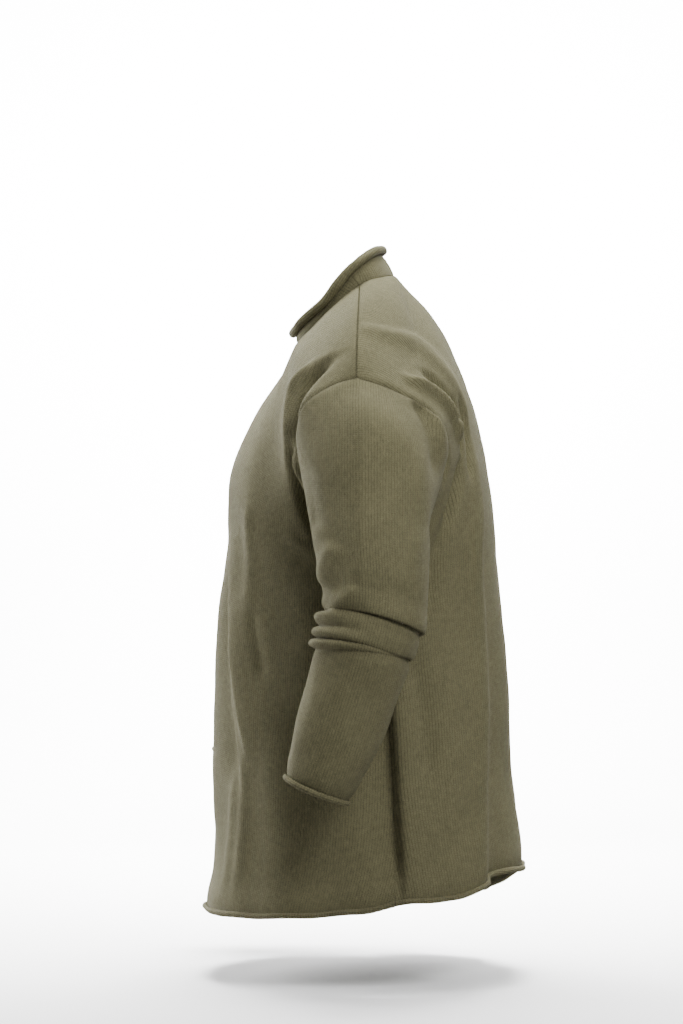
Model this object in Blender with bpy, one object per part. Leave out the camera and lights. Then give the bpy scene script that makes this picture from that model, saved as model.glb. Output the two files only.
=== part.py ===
"""Turtleneck sweater in its worn shape: front, back, two sleeves and a collar band.

Every piece is a knitted wall of even thickness, and its free edge rolls outwards by itself, as plain
knitting does. Neck, hem, cuffs and armholes are open. The pieces stand a seam gap apart.

Units are metres with +Z up. The wearer faces -Y and the wearer's left arm is at +X. The origin is the
middle of the neck base, level with the points where the shoulder seams meet the collar.
"""

import math
from collections import namedtuple

import bpy
import numpy as np

# Cloth
WALL = 0.0020
SEAM_GAP = 0.0003
HEM_ROLL_DIAMETER = 0.0072
HEM_DRAW_IN = 0.0022
CUFF_ROLL_DIAMETER = 0.0070
COLLAR_ROLL_DIAMETER = 0.0095
ROLL_TURN = math.radians(268)
ROLL_STEPS = 5

# Mesh density
LOWER_ROWS = 11
FRONT_CHEST_ROWS = 6
FRONT_NECK_ROWS = 7
BACK_CHEST_ROWS = 7
BACK_NECK_ROWS = 6
HALF_COLUMNS = 13
CAP_RINGS = 5
UPPER_RINGS = 4
FOREARM_RINGS = 6
COLLAR_RINGS = 4

# Body landmarks
CHEST_ROW_Z = -0.2850
FRONT_NECK_SHARE = 0.62
BACK_NECK_SHARE = 0.72

Line = namedtuple("Line", "z y")
FRONT_LINE = (
    Line(-0.692, -0.1630),
    Line(-0.660, -0.1555),
    Line(-0.620, -0.1505),
    Line(-0.510, -0.1490),
    Line(-0.400, -0.1458),
    Line(-0.300, -0.1372),
    Line(-0.240, -0.1368),
    Line(-0.205, -0.1335),
    Line(-0.158, -0.1152),
    Line(-0.115, -0.0900),
    Line(-0.085, -0.0690),
    Line(-0.061, -0.0576),
)
BACK_LINE = (
    Line(-0.643, 0.1950),
    Line(-0.600, 0.1890),
    Line(-0.540, 0.1808),
    Line(-0.456, 0.1785),
    Line(-0.348, 0.1717),
    Line(-0.266, 0.1627),
    Line(-0.199, 0.1525),
    Line(-0.145, 0.1410),
    Line(-0.090, 0.1235),
    Line(-0.036, 0.0935),
    Line(-0.008, 0.0730),
    Line(0.0135, 0.0497),
)

# Girth runs 0 front centre, 1 left side seam, 2 back centre, 3 right side seam, 4 front centre
Hem = namedtuple("Hem", "girth z")
HEM = (
    Hem(0.00, -0.6930),
    Hem(0.30, -0.6900),
    Hem(0.62, -0.6890),
    Hem(0.80, -0.6835),
    Hem(1.00, -0.6705),
    Hem(1.20, -0.6660),
    Hem(1.38, -0.6625),
    Hem(1.46, -0.6570),
    Hem(1.56, -0.6495),
    Hem(1.80, -0.6485),
    Hem(2.00, -0.6480),
    Hem(2.15, -0.6540),
    Hem(2.35, -0.6720),
    Hem(2.52, -0.6790),
    Hem(2.75, -0.6790),
    Hem(3.00, -0.6760),
    Hem(3.20, -0.6830),
    Hem(3.38, -0.6880),
    Hem(3.70, -0.6900),
    Hem(4.00, -0.6930),
)

Seam = namedtuple("Seam", "share x y z")
SIDE_SEAM = (
    Seam(0.00, 0.2140, 0.048, -0.6690),
    Seam(0.10, 0.2080, 0.048, -0.6320),
    Seam(0.30, 0.2020, 0.047, -0.5570),
    Seam(0.55, 0.1990, 0.043, -0.4630),
    Seam(0.80, 0.1960, 0.036, -0.3700),
    Seam(0.94, 0.1955, 0.032, -0.3200),
    Seam(1.00, 0.2050, 0.030, -0.3000),
)

# Turn is in degrees round the left armhole: 0 at the shoulder seam, 90 at the front, 180 at the underarm
Armhole = namedtuple("Armhole", "turn x y z")
ARMHOLE = (
    Armhole(0, 0.2400, 0.0065, -0.1065),
    Armhole(20, 0.2390, -0.0130, -0.1115),
    Armhole(40, 0.2350, -0.0350, -0.1225),
    Armhole(60, 0.2270, -0.0545, -0.1380),
    Armhole(80, 0.2150, -0.0630, -0.1660),
    Armhole(100, 0.2060, -0.0610, -0.2050),
    Armhole(125, 0.2000, -0.0440, -0.2500),
    Armhole(152, 0.2010, -0.0080, -0.2870),
    Armhole(180, 0.2050, 0.0300, -0.3000),
    Armhole(208, 0.2000, 0.0640, -0.2820),
    Armhole(235, 0.1950, 0.0890, -0.2420),
    Armhole(258, 0.1950, 0.1010, -0.2020),
    Armhole(278, 0.2010, 0.1030, -0.1680),
    Armhole(297, 0.2120, 0.0905, -0.1430),
    Armhole(318, 0.2260, 0.0610, -0.1265),
    Armhole(340, 0.2370, 0.0320, -0.1140),
    Armhole(360, 0.2400, 0.0065, -0.1065),
)

# Turn is in degrees round the neck: 0 at the front, 90 at the left shoulder seam, 180 at the back
Neck = namedtuple("Neck", "turn x y z")
NECK_SEAM = (
    Neck(0, 0.0000, -0.0576, -0.0602),
    Neck(30, 0.0410, -0.0495, -0.0520),
    Neck(60, 0.0675, -0.0245, -0.0265),
    Neck(90, 0.0755, 0.0105, 0.0020),
    Neck(120, 0.0660, 0.0300, 0.0100),
    Neck(150, 0.0380, 0.0448, 0.0140),
    Neck(180, 0.0000, 0.0497, 0.0155),
)
NECK_TOP = (
    Neck(0, 0.0000, -0.0592, -0.0487),
    Neck(30, 0.0380, -0.0505, -0.0385),
    Neck(60, 0.0630, -0.0262, -0.0165),
    Neck(90, 0.0700, 0.0005, 0.0215),
    Neck(120, 0.0600, 0.0150, 0.0330),
    Neck(150, 0.0350, 0.0280, 0.0400),
    Neck(180, 0.0000, 0.0335, 0.0415),
)

# Handles of the curve that each row follows, from the centre or neck to the side or armhole
Row = namedtuple("Row", "share in_x in_y in_z out_x out_y out_z")
LOWER_FRONT = (
    Row(0.0, 0.130, 0.000, 0.000, 0.000, -0.125, 0.000),
    Row(0.5, 0.128, 0.000, 0.000, 0.000, -0.115, -0.012),
    Row(1.0, 0.125, 0.000, 0.000, 0.000, -0.100, -0.040),
)
LOWER_BACK = (
    Row(0.0, 0.115, 0.000, 0.000, 0.000, 0.085, 0.000),
    Row(0.5, 0.118, 0.000, 0.000, 0.000, 0.080, -0.010),
    Row(1.0, 0.122, 0.000, 0.000, 0.000, 0.075, -0.034),
)
UPPER_FRONT = (
    Row(0.00, 0.125, 0.000, 0.000, 0.000, -0.100, -0.040),
    Row(0.15, 0.122, 0.000, 0.000, -0.022, -0.085, -0.028),
    Row(0.30, 0.115, 0.000, 0.000, -0.052, -0.058, -0.010),
    Row(0.45, 0.105, -0.002, -0.002, -0.075, -0.030, 0.010),
    Row(0.62, 0.085, -0.010, -0.010, -0.072, -0.012, 0.030),
    Row(0.80, 0.066, -0.008, -0.015, -0.050, -0.004, 0.046),
    Row(1.00, 0.060, 0.000, -0.012, -0.020, 0.000, 0.058),
)
UPPER_BACK = (
    Row(0.00, 0.122, 0.000, 0.000, 0.000, 0.075, -0.034),
    Row(0.15, 0.120, 0.000, 0.000, -0.022, 0.068, -0.022),
    Row(0.30, 0.116, 0.000, 0.000, -0.050, 0.048, -0.006),
    Row(0.50, 0.105, 0.000, 0.000, -0.078, 0.024, 0.015),
    Row(0.72, 0.080, 0.010, -0.004, -0.065, 0.012, 0.040),
    Row(0.86, 0.064, 0.008, -0.010, -0.042, 0.006, 0.050),
    Row(1.00, 0.060, 0.000, -0.012, -0.020, 0.000, 0.058),
)
UNDERARM_EASE = 0.075
UNDERARM_PASSES = 24

# Largest folds of the body. A positive depth is a ridge and a negative one a trough.
Fold = namedtuple("Fold", "girth_top z_top girth_end z_end width depth fade_top fade_end")
BODY_FOLDS = (
    Fold(0.20, -0.270, 0.46, -0.640, 0.070, 0.0070, 0.10, 0.16),
    Fold(0.10, -0.300, 0.30, -0.650, 0.090, -0.0060, 0.10, 0.10),
    Fold(0.58, -0.070, 0.86, -0.330, 0.055, 0.0085, 0.04, 0.10),
    Fold(0.92, -0.130, 0.93, -0.420, 0.060, -0.0100, 0.05, 0.12),
    Fold(0.98, -0.400, 0.97, -0.720, 0.060, -0.0200, 0.10, 0.02),
    Fold(1.09, -0.380, 1.09, -0.720, 0.070, 0.0110, 0.10, 0.02),
    Fold(1.58, -0.160, 1.45, -0.720, 0.050, 0.0090, 0.08, 0.02),
    Fold(1.72, -0.200, 1.58, -0.720, 0.070, -0.0110, 0.10, 0.02),
    Fold(1.36, -0.100, 1.28, -0.420, 0.065, -0.0090, 0.05, 0.14),
    Fold(1.84, -0.340, 1.80, -0.720, 0.060, 0.0040, 0.16, 0.02),
    Fold(2.28, -0.320, 2.34, -0.720, 0.080, -0.0090, 0.16, 0.02),
    Fold(2.44, -0.160, 2.54, -0.720, 0.065, 0.0085, 0.08, 0.02),
    Fold(2.66, -0.120, 2.74, -0.420, 0.075, -0.0080, 0.06, 0.14),
    Fold(2.94, -0.380, 2.95, -0.720, 0.070, 0.0080, 0.10, 0.02),
    Fold(3.04, -0.400, 3.04, -0.720, 0.060, -0.0150, 0.08, 0.02),
    Fold(3.42, -0.075, 3.16, -0.330, 0.055, 0.0075, 0.05, 0.10),
    Fold(3.76, -0.290, 3.52, -0.640, 0.075, 0.0065, 0.12, 0.14),
    Fold(3.88, -0.320, 3.68, -0.660, 0.090, -0.0060, 0.12, 0.08),
)

# Sleeve sections. lean is how far the tube's axis leans forwards, tip how far its outer side is raised.
Ring = namedtuple("Ring", "x y z half_width half_depth lean tip")
LEFT_CAP = (
    Ring(0.2530, 0.0205, -0.2400, 0.0820, 0.0660, 0.0, 69.0),
    Ring(0.2640, 0.0230, -0.2900, 0.0590, 0.0600, 2.0, 44.0),
    Ring(0.2700, 0.0250, -0.3260, 0.0520, 0.0565, 5.0, 20.0),
)
LEFT_ELBOW = (
    Ring(0.2720, 0.0245, -0.3600, 0.0500, 0.0545, 13.0, 11.0),
    Ring(0.2750, 0.0130, -0.4030, 0.0480, 0.0500, 15.0, 3.0),
)
LEFT_FOREARM = (
    Ring(0.2760, 0.0045, -0.4300, 0.0450, 0.0483, 17.0, 0.0),
    Ring(0.2760, -0.0118, -0.4800, 0.0430, 0.0462, 18.0, -1.0),
    Ring(0.2750, -0.0280, -0.5250, 0.0375, 0.0395, 21.0, -2.0),
    Ring(0.2740, -0.0352, -0.5440, 0.0315, 0.0335, 23.0, -3.0),
)
RIGHT_CAP = (
    Ring(0.2530, 0.0205, -0.2400, 0.0820, 0.0660, 0.0, 69.0),
    Ring(0.2640, 0.0205, -0.2900, 0.0590, 0.0610, 3.0, 44.0),
    Ring(0.2700, 0.0165, -0.3260, 0.0520, 0.0570, 9.0, 20.0),
)
RIGHT_ELBOW = (
    Ring(0.2720, 0.0080, -0.3600, 0.0500, 0.0550, 20.0, 11.0),
    Ring(0.2740, -0.0110, -0.4020, 0.0480, 0.0510, 30.0, 3.0),
)
RIGHT_FOREARM = (
    Ring(0.2740, -0.0340, -0.4330, 0.0450, 0.0483, 36.0, 0.0),
    Ring(0.2735, -0.0780, -0.4865, 0.0430, 0.0462, 37.0, -1.0),
    Ring(0.2720, -0.1223, -0.5403, 0.0375, 0.0395, 37.0, -2.0),
    Ring(0.2700, -0.1334, -0.5545, 0.0315, 0.0335, 38.0, -3.0),
)

# Cloth pushed up at the elbow: where each crest and groove lies along the arm, as a share of the elbow
# stretch, and how far it stands out, at the back of the arm, on its outer side and at its front.
Tuck = namedtuple("Tuck", "place_back place_side place_front out_back out_side out_front")
ELBOW_TUCKS = (
    Tuck(-0.35, -0.45, -0.40, 0.0000, 0.0000, 0.0000),
    Tuck(0.00, -0.05, -0.06, 0.0035, 0.0040, 0.0005),
    Tuck(0.15, 0.11, 0.15, 0.0005, 0.0005, -0.0060),
    Tuck(0.19, 0.17, 0.24, -0.0040, -0.0028, 0.0025),
    Tuck(0.34, 0.30, 0.35, -0.0002, 0.0012, 0.0075),
    Tuck(0.46, 0.46, 0.54, 0.0005, 0.0012, 0.0000),
    Tuck(0.62, 0.64, 0.70, 0.0018, 0.0030, 0.0078),
    Tuck(0.73, 0.74, 0.84, -0.0030, -0.0030, -0.0025),
    Tuck(0.80, 0.81, 0.99, -0.0040, 0.0012, 0.0082),
    Tuck(0.87, 0.90, 1.14, -0.0035, -0.0010, -0.0005),
)


def smooth(xs, ys, at):
    """Smooth curve through the points xs, ys, read at the values at. ys may hold several columns."""
    xs = np.asarray(xs, float)
    ys = np.asarray(ys, float)
    ys = ys.reshape(len(xs), -1)
    at = np.clip(np.atleast_1d(np.asarray(at, float)), xs[0], xs[-1])
    steps = np.diff(xs)[:, None]
    slopes = np.diff(ys, axis=0) / steps
    tangents = np.zeros_like(ys)
    tangents[0] = slopes[0]
    tangents[-1] = slopes[-1]
    tangents[1:-1] = (slopes[:-1] * steps[1:] + slopes[1:] * steps[:-1]) / (steps[:-1] + steps[1:])
    k = np.clip(np.searchsorted(xs, at, side="right") - 1, 0, len(xs) - 2)
    h = steps[k]
    t = ((at - xs[k])[:, None]) / h
    return (
        (2 * t**3 - 3 * t**2 + 1) * ys[k]
        + (t**3 - 2 * t**2 + t) * h * tangents[k]
        + (3 * t**2 - 2 * t**3) * ys[k + 1]
        + (t**3 - t**2) * h * tangents[k + 1]
    )


def read_line(line, z):
    """The y of a centre line at the heights z."""
    rows = sorted(line)
    return smooth([row.z for row in rows], [row.y for row in rows], z)[:, 0]


def read_rows(table, share):
    """Every column of a table after its first one, at that share of the way."""
    return smooth([row[0] for row in table], [row[1:] for row in table], share)


def ease(t):
    t = np.clip(t, 0.0, 1.0)
    return t * t * (3 - 2 * t)


def unit(vectors):
    return vectors / np.maximum(np.linalg.norm(vectors, axis=-1, keepdims=True), 1e-12)


def armhole(angle):
    """Points of the left armhole seam at those turns."""
    return read_rows(ARMHOLE, np.degrees(angle))


def neck_loop(neck, turn):
    """Points of a loop round the neck at those turns."""
    left = np.array(neck, float)
    right = left[1:-1][::-1] * (-1, -1, 1, 1)
    past = left[1:-1][::-1] * (-1, -1, 1, 1) + (360, 0, 0, 0)
    rows = np.concatenate([right, left, past])
    turn = (np.degrees(np.atleast_1d(turn)) + 90) % 360 - 90
    return smooth(rows[:, 0], rows[:, 1:], turn)


def curve_row(start, start_handle, end_handle, end, share):
    """Points of a Bezier curve."""
    s = share[:, None]
    return (
        (1 - s) ** 3 * start
        + 3 * (1 - s) ** 2 * s * (start + start_handle)
        + 3 * (1 - s) * s**2 * (end + end_handle)
        + s**3 * end
    )


def girths_across(front, side, across):
    """The girth at that share of the way from a panel's centre to its left edge, side 1, or its right one."""
    if front:
        return across if side == 1 else 4 - across
    return 2 - side * across


def lower_grid(front, side, rows, columns):
    """Half a panel from the hem up to the underarm, drawn at +X: an array of rows by columns of points."""
    share = np.linspace(0, 1, rows + 1)
    across = np.linspace(0, 1, columns + 1)
    hem_z = read_rows(HEM, girths_across(front, side, across))[:, 0]
    z = hem_z[0] + (CHEST_ROW_Z - hem_z[0]) * share
    y = read_line(FRONT_LINE if front else BACK_LINE, z)
    start = np.stack([np.zeros_like(z), y, z], axis=1)
    end = read_rows(SIDE_SEAM, share)
    handles = read_rows(LOWER_FRONT if front else LOWER_BACK, share)
    grid = np.array([curve_row(a, h[:3], h[3:], b, across) for a, h, b in zip(start, handles, end)])
    straight = z[:, None] + (end[:, 2:] - z[:, None]) * across
    grid[:, :, 2] += (hem_z - straight[0]) * (1 - share[:, None])
    return grid


def upper_shares(front, chest_rows, neck_rows):
    """How far up from the underarm to the shoulder seam each row of the upper panel lies."""
    neck = FRONT_NECK_SHARE if front else BACK_NECK_SHARE
    chest = np.linspace(0, neck, chest_rows + 1)
    return np.concatenate([chest, np.linspace(neck, 1, neck_rows + 1)[1:]])


def armhole_angles(front, share):
    return math.pi * (1 - share) if front else math.pi * (1 + share)


def neck_turns(front, neck_rows):
    """The turns round the neck of the rows that end on the neckline."""
    quarter = np.linspace(0, math.pi / 2, neck_rows + 1)
    return quarter if front else math.pi - quarter


def upper_grid(front, chest_rows, neck_rows, columns):
    """Half a panel from the underarm up to the shoulder seam, at +X."""
    share = upper_shares(front, chest_rows, neck_rows)
    top_z = NECK_SEAM[0 if front else -1].z
    z = np.linspace(CHEST_ROW_Z, top_z, chest_rows + 1)
    y = read_line(FRONT_LINE if front else BACK_LINE, z)
    centre = np.stack([np.zeros_like(z), y, z], axis=1)
    neckline = neck_loop(NECK_SEAM, neck_turns(front, neck_rows))
    start = np.concatenate([centre[:-1], neckline])
    end = armhole(armhole_angles(front, share))
    handles = read_rows(UPPER_FRONT if front else UPPER_BACK, share)
    across = np.linspace(0, 1, columns + 1)
    return np.array([curve_row(a, h[:3], h[3:], b, across) for a, h, b in zip(start, handles, end)])


def ease_underarm(grid, armhole_row):
    """Evens out the cloth round the underarm. The panel's own edges stay where they are."""
    grid = grid.copy()
    away = np.linalg.norm(grid - grid[armhole_row, -1], axis=2)
    share = np.exp(-((away / UNDERARM_EASE) ** 2))[1:-1, 1:-1, None] * 0.8
    for _ in range(UNDERARM_PASSES):
        mean = (grid[:-2, 1:-1] + grid[2:, 1:-1] + grid[1:-1, :-2] + grid[1:-1, 2:]) / 4
        grid[1:-1, 1:-1] += (mean - grid[1:-1, 1:-1]) * share
    return grid


class Sheet:
    """The middle surface of one piece of cloth: its points, its faces, and where each point lies on it."""

    def __init__(self, name):
        self.name = name
        self.points = []
        self.faces = []
        self.girths = []

    def add_points(self, points, girths=None):
        first = len(self.points)
        self.points.extend(np.asarray(points, float))
        self.girths.extend(girths if girths is not None else [0.0] * len(points))
        return list(range(first, len(self.points)))

    def add_grid(self, index, flip, closed=False):
        """Faces between neighbouring rows of point numbers. A closed grid joins its last column to its first."""
        for low, high in zip(index[:-1], index[1:]):
            count = len(low)
            for c in range(count if closed else count - 1):
                d = (c + 1) % count
                face = (low[c], low[d], high[d], high[c])
                if len(set(face)) == 4:
                    self.faces.append(face[::-1] if flip else face)

    def finish(self):
        self.points = np.array(self.points)
        self.girths = np.array(self.girths)


def keys_of(points):
    return [tuple(key) for key in np.round(points * 1e6).astype(int)]


def shared_normals(sheets):
    """Outward normals of every sheet's points.

    Pieces that meet at a seam get the same normal there, halfway between the body and the sleeve or collar.
    """
    totals = {}
    for sheet in sheets:
        p = sheet.points
        faces = np.array(sheet.faces)
        normals = np.cross(p[faces[:, 2]] - p[faces[:, 0]], p[faces[:, 3]] - p[faces[:, 1]])
        keys = keys_of(p)
        group = "body" if sheet.name in ("front", "back") else sheet.name
        for face, normal in zip(faces, normals):
            for v in face:
                place = totals.setdefault(keys[v], {})
                place[group] = place.get(group, 0.0) + normal
    shared = {key: unit(sum(unit(normal) for normal in place.values())) for key, place in totals.items()}
    return [np.array([shared[key] for key in keys_of(sheet.points)]) for sheet in sheets]


def seam_keys(sheets):
    """The places where two or more pieces meet."""
    seen = {}
    for sheet in sheets:
        for key in set(keys_of(sheet.points)):
            seen[key] = seen.get(key, 0) + 1
    return {key for key, count in seen.items() if count > 1}


def fold_height(folds, girth, z):
    """How far the folds push the cloth out at each girth and height."""
    height = np.zeros_like(z)
    for fold in folds:
        t = np.clip((fold.z_top - z) / (fold.z_top - fold.z_end), 0, 1)
        centre = fold.girth_top + (fold.girth_end - fold.girth_top) * t
        away = (girth - centre + 2) % 4 - 2
        rise = ease((fold.z_top - z) / fold.fade_top) * ease((z - fold.z_end) / fold.fade_end)
        height += fold.depth * rise * np.exp(-((away / fold.width) ** 2))
    return height


def roll(points, down, outward, diameter, steps):
    """Rows of points that curl outwards past the edge points. The last row is the cloth's end."""
    radius = (diameter - WALL) / 2
    rows = []
    for k in range(1, steps + 1):
        turn = ROLL_TURN * k / steps
        rows.append(points + radius * ((1 - math.cos(turn)) * outward + math.sin(turn) * down))
    return rows


def body_panel(name, front):
    """A front or back panel: two mirrored halves that share the centre column below the neck."""
    sheet = Sheet(name)
    chest_rows = FRONT_CHEST_ROWS if front else BACK_CHEST_ROWS
    neck_rows = FRONT_NECK_ROWS if front else BACK_NECK_ROWS
    upper = upper_grid(front, chest_rows, neck_rows, HALF_COLUMNS)
    neck_row = LOWER_ROWS + chest_rows
    across = np.linspace(0, 1, HALF_COLUMNS + 1)
    index = {}
    for side in (1, -1):
        lower = lower_grid(front, side, LOWER_ROWS, HALF_COLUMNS)
        half = ease_underarm(np.concatenate([lower, upper[1:]]), LOWER_ROWS)
        girth = girths_across(front, side, across)
        rows = []
        for r, row in enumerate(half):
            points = row * np.array([side, 1, 1])
            if side == -1 and r <= neck_row:
                rows.append([index[1][r][0]] + sheet.add_points(points[1:], girth[1:]))
            else:
                rows.append(sheet.add_points(points, girth))
        index[side] = rows
        sheet.add_grid(rows, flip=(side == 1) != front)
    sheet.hem = (index[1][0], index[-1][0])
    sheet.front = front
    sheet.finish()
    return sheet


def add_hem_roll(sheet, normals):
    """Draws the bottom edge of a body panel in a little and curls it outwards."""
    down = np.array([0.0, 0.0, -1.0])
    bottom = sorted(set(sheet.hem[0]) | set(sheet.hem[1]))
    sheet.points[bottom] -= normals[bottom] * HEM_DRAW_IN
    for side, edge in zip((1, -1), sheet.hem):
        outward = normals[edge].copy()
        outward[:, 2] = 0
        outward = unit(outward)
        rows = roll(sheet.points[edge], down, outward, HEM_ROLL_DIAMETER, ROLL_STEPS)
        index = [edge]
        for row in rows:
            first = len(sheet.points)
            sheet.points = np.concatenate([sheet.points, row])
            sheet.girths = np.concatenate([sheet.girths, sheet.girths[edge]])
            numbers = list(range(first, len(sheet.points)))
            if side == -1:
                numbers[0] = sheet.centre_roll[len(index) - 1]
            index.append(numbers)
        if side == 1:
            sheet.centre_roll = [numbers[0] for numbers in index[1:]]
        sheet.add_grid(index, flip=(side == 1) == sheet.front)


def ring_points(ring, angles):
    """Points round one section of the left sleeve."""
    lean = math.radians(ring.lean)
    tip = math.radians(ring.tip)
    out = np.array([math.cos(tip), 0, math.sin(tip)])
    forward = np.array([0, -math.cos(lean), math.sin(lean)])
    centre = np.array([ring.x, ring.y, ring.z])
    c = np.cos(angles)[:, None]
    s = np.sin(angles)[:, None]
    return centre + ring.half_width * c * out + ring.half_depth * s * forward


def sleeve_angles():
    """The angles round the armhole where the rows of the two body panels end."""
    front = armhole_angles(True, upper_shares(True, FRONT_CHEST_ROWS, FRONT_NECK_ROWS))[::-1]
    back = armhole_angles(False, upper_shares(False, BACK_CHEST_ROWS, BACK_NECK_ROWS))
    return np.concatenate([front, back[1:-1]])


def read_tucks(angles):
    """Where each elbow tuck lies and how far it stands out, at those angles round the arm."""
    front = (1 + np.sin(angles)) / 2
    blend = np.array([(1 - front) * (1 - 2 * front), 4 * front * (1 - front), front * (2 * front - 1)])
    tucks = np.array(ELBOW_TUCKS)
    return tucks[:, 0:3] @ blend, tucks[:, 3:6] @ blend


def sleeve(name, side, cap, elbow, forearm):
    """A sleeve from the armhole seam to the rolled cuff. Side is 1 for the left and -1 for the right."""
    angles = sleeve_angles()
    stations = [armhole(angles)] + [ring_points(ring, angles) for ring in cap + elbow + forearm]
    stations = np.array(stations)
    places = np.arange(len(stations), dtype=float)
    elbow_start = float(len(cap) + 1)
    cap_at = np.linspace(0, len(cap), CAP_RINGS + UPPER_RINGS + 1)
    tuck_places, tuck_heights = read_tucks(angles)
    forearm_at = np.linspace(elbow_start + 1.32, places[-1], FOREARM_RINGS)
    columns = []
    for a in range(len(angles)):
        at = np.concatenate([cap_at, elbow_start + tuck_places[:, a], forearm_at])
        columns.append(smooth(places, stations[:, a], at))
    grid = np.array(columns).transpose(1, 0, 2)
    lift = np.zeros(grid.shape[:2] + (1,))
    lift[len(cap_at) : len(cap_at) + len(ELBOW_TUCKS), :, 0] = tuck_heights
    middle = grid.mean(axis=1, keepdims=True)
    grid = grid + lift * unit(grid - middle)
    down = unit(grid[-1] - grid[-2])
    outward = unit(grid[-1] - grid[-1].mean(axis=0))
    rows = list(grid) + roll(grid[-1], down, outward, CUFF_ROLL_DIAMETER, ROLL_STEPS)
    sheet = Sheet(name)
    index = [sheet.add_points(row * np.array([side, 1, 1])) for row in rows]
    sheet.add_grid(index, flip=side == -1, closed=True)
    sheet.finish()
    return sheet


def collar(name):
    """The collar band from the neck seam to its rolled top edge."""
    front = neck_turns(True, FRONT_NECK_ROWS)
    back = neck_turns(False, BACK_NECK_ROWS)[::-1]
    half = np.concatenate([front, back[1:]])
    turns = np.concatenate([half, (2 * math.pi - half[1:-1])[::-1]])
    low = neck_loop(NECK_SEAM, turns)
    high = neck_loop(NECK_TOP, turns)
    rows = [low + (high - low) * k / COLLAR_RINGS for k in range(COLLAR_RINGS + 1)]
    up = unit(high - low)
    outward = high - high.mean(axis=0)
    outward = unit(outward - (outward * up).sum(axis=1, keepdims=True) * up)
    rows += roll(high, up, outward, COLLAR_ROLL_DIAMETER, ROLL_STEPS)
    sheet = Sheet(name)
    index = [sheet.add_points(row) for row in rows]
    sheet.add_grid(index, flip=False, closed=True)
    sheet.finish()
    return sheet


def part_at_seams(sheet, normals, meeting):
    """Draws the seam edges of a piece back into it by half the seam gap, square to the seam."""
    points = sheet.points
    keys = keys_of(points)
    used = {}
    for face in sheet.faces:
        for a, b in zip(face, face[1:] + face[:1]):
            used[(a, b)] = True
    inward = np.zeros_like(points)
    for a, b in used:
        if (b, a) not in used and keys[a] in meeting and keys[b] in meeting:
            along = unit(points[b] - points[a])
            for v in (a, b):
                inward[v] += unit(np.cross(normals[v], along))
    length = np.linalg.norm(inward, axis=1, keepdims=True)
    reach = np.where(length > 0.1, 2 / np.maximum(length, 0.8) ** 2, 0.0)
    return points + inward * reach * SEAM_GAP * 0.55


def wall_mesh(sheet, points, normals):
    """A closed wall: the sheet moved out and in by half the cloth's thickness, joined round its edges.

    Both sides are split into triangles along the same diagonals, so a twisted face keeps its thickness.
    """
    keys = keys_of(sheet.points)
    count = len(points)
    corners = np.concatenate([points + normals * WALL / 2, points - normals * WALL / 2])
    outer = []
    uses = {}
    for a, b, c, d in sheet.faces:
        if np.linalg.norm(points[a] - points[c]) <= np.linalg.norm(points[b] - points[d]):
            outer += [(a, b, c), (a, c, d)]
        else:
            outer += [(b, c, d), (b, d, a)]
        for edge in ((a, b), (b, c), (c, d), (d, a)):
            uses[edge] = True
    faces = outer + [(c + count, b + count, a + count) for a, b, c in outer]
    for a, b in uses:
        if (b, a) in uses:
            continue
        if keys[a] < keys[b]:
            faces += [(b, a, b + count), (a, a + count, b + count)]
        else:
            faces += [(b, a, a + count), (b, a + count, b + count)]
    used = sorted({v for face in faces for v in face})
    renumber = {v: i for i, v in enumerate(used)}
    mesh = bpy.data.meshes.new(sheet.name)
    mesh.from_pydata(corners[used].tolist(), [], [[renumber[v] for v in face] for face in faces])
    mesh.update()
    return mesh


def knit_material(name, colour):
    material = bpy.data.materials.new(name)
    material.use_nodes = True
    shader = material.node_tree.nodes["Principled BSDF"]
    shader.inputs["Base Color"].default_value = (*colour, 1.0)
    shader.inputs["Roughness"].default_value = 0.92
    shader.inputs["Metallic"].default_value = 0.0
    return material


def make_sweater():
    panels = [body_panel("front", True), body_panel("back", False)]
    tubes = [
        sleeve("sleeve_left", 1, LEFT_CAP, LEFT_ELBOW, LEFT_FOREARM),
        sleeve("sleeve_right", -1, RIGHT_CAP, RIGHT_ELBOW, RIGHT_FOREARM),
        collar("collar"),
    ]
    sheets = panels + tubes
    meeting = seam_keys(sheets)
    normals = shared_normals(sheets)
    for sheet, normal in zip(panels, normals):
        height = fold_height(BODY_FOLDS, sheet.girths, sheet.points[:, 2])
        at_seam = np.array([key in meeting for key in keys_of(sheet.points)])
        upper = sheet.points[:, 2] > CHEST_ROW_Z - 0.02
        height[at_seam & upper] = 0
        sheet.points = sheet.points + normal * height[:, None]
    meeting = seam_keys(sheets)
    normals = shared_normals(sheets)
    for sheet, normal in zip(panels, normals):
        add_hem_roll(sheet, normal)
    meeting = seam_keys(sheets)
    normals = shared_normals(sheets)
    collection = bpy.data.collections.new("turtleneck_sweater")
    bpy.context.scene.collection.children.link(collection)
    for sheet, normal in zip(sheets, normals):
        points = part_at_seams(sheet, normal, meeting)
        mesh = wall_mesh(sheet, points, normal)
        mesh.materials.append(knit_material("knit_" + sheet.name, (0.165, 0.148, 0.088)))
        mesh.shade_smooth()
        collection.objects.link(bpy.data.objects.new(sheet.name, mesh))


for old in list(bpy.data.objects):
    bpy.data.objects.remove(old, do_unlink=True)
make_sweater()
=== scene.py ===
# %% [markdown]
# # Turtleneck sweater, in its worn shape
#
# A plain knitted pullover of olive wool: two body panels, two sleeves and a short collar band.
# It keeps its worn form, and it is open at the neck, cuffs and hem.
# Each piece here stands for the solid of the same name, in the same place, with the finer folds,
# the knitted surface and the linked seams that the solids leave out.

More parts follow.
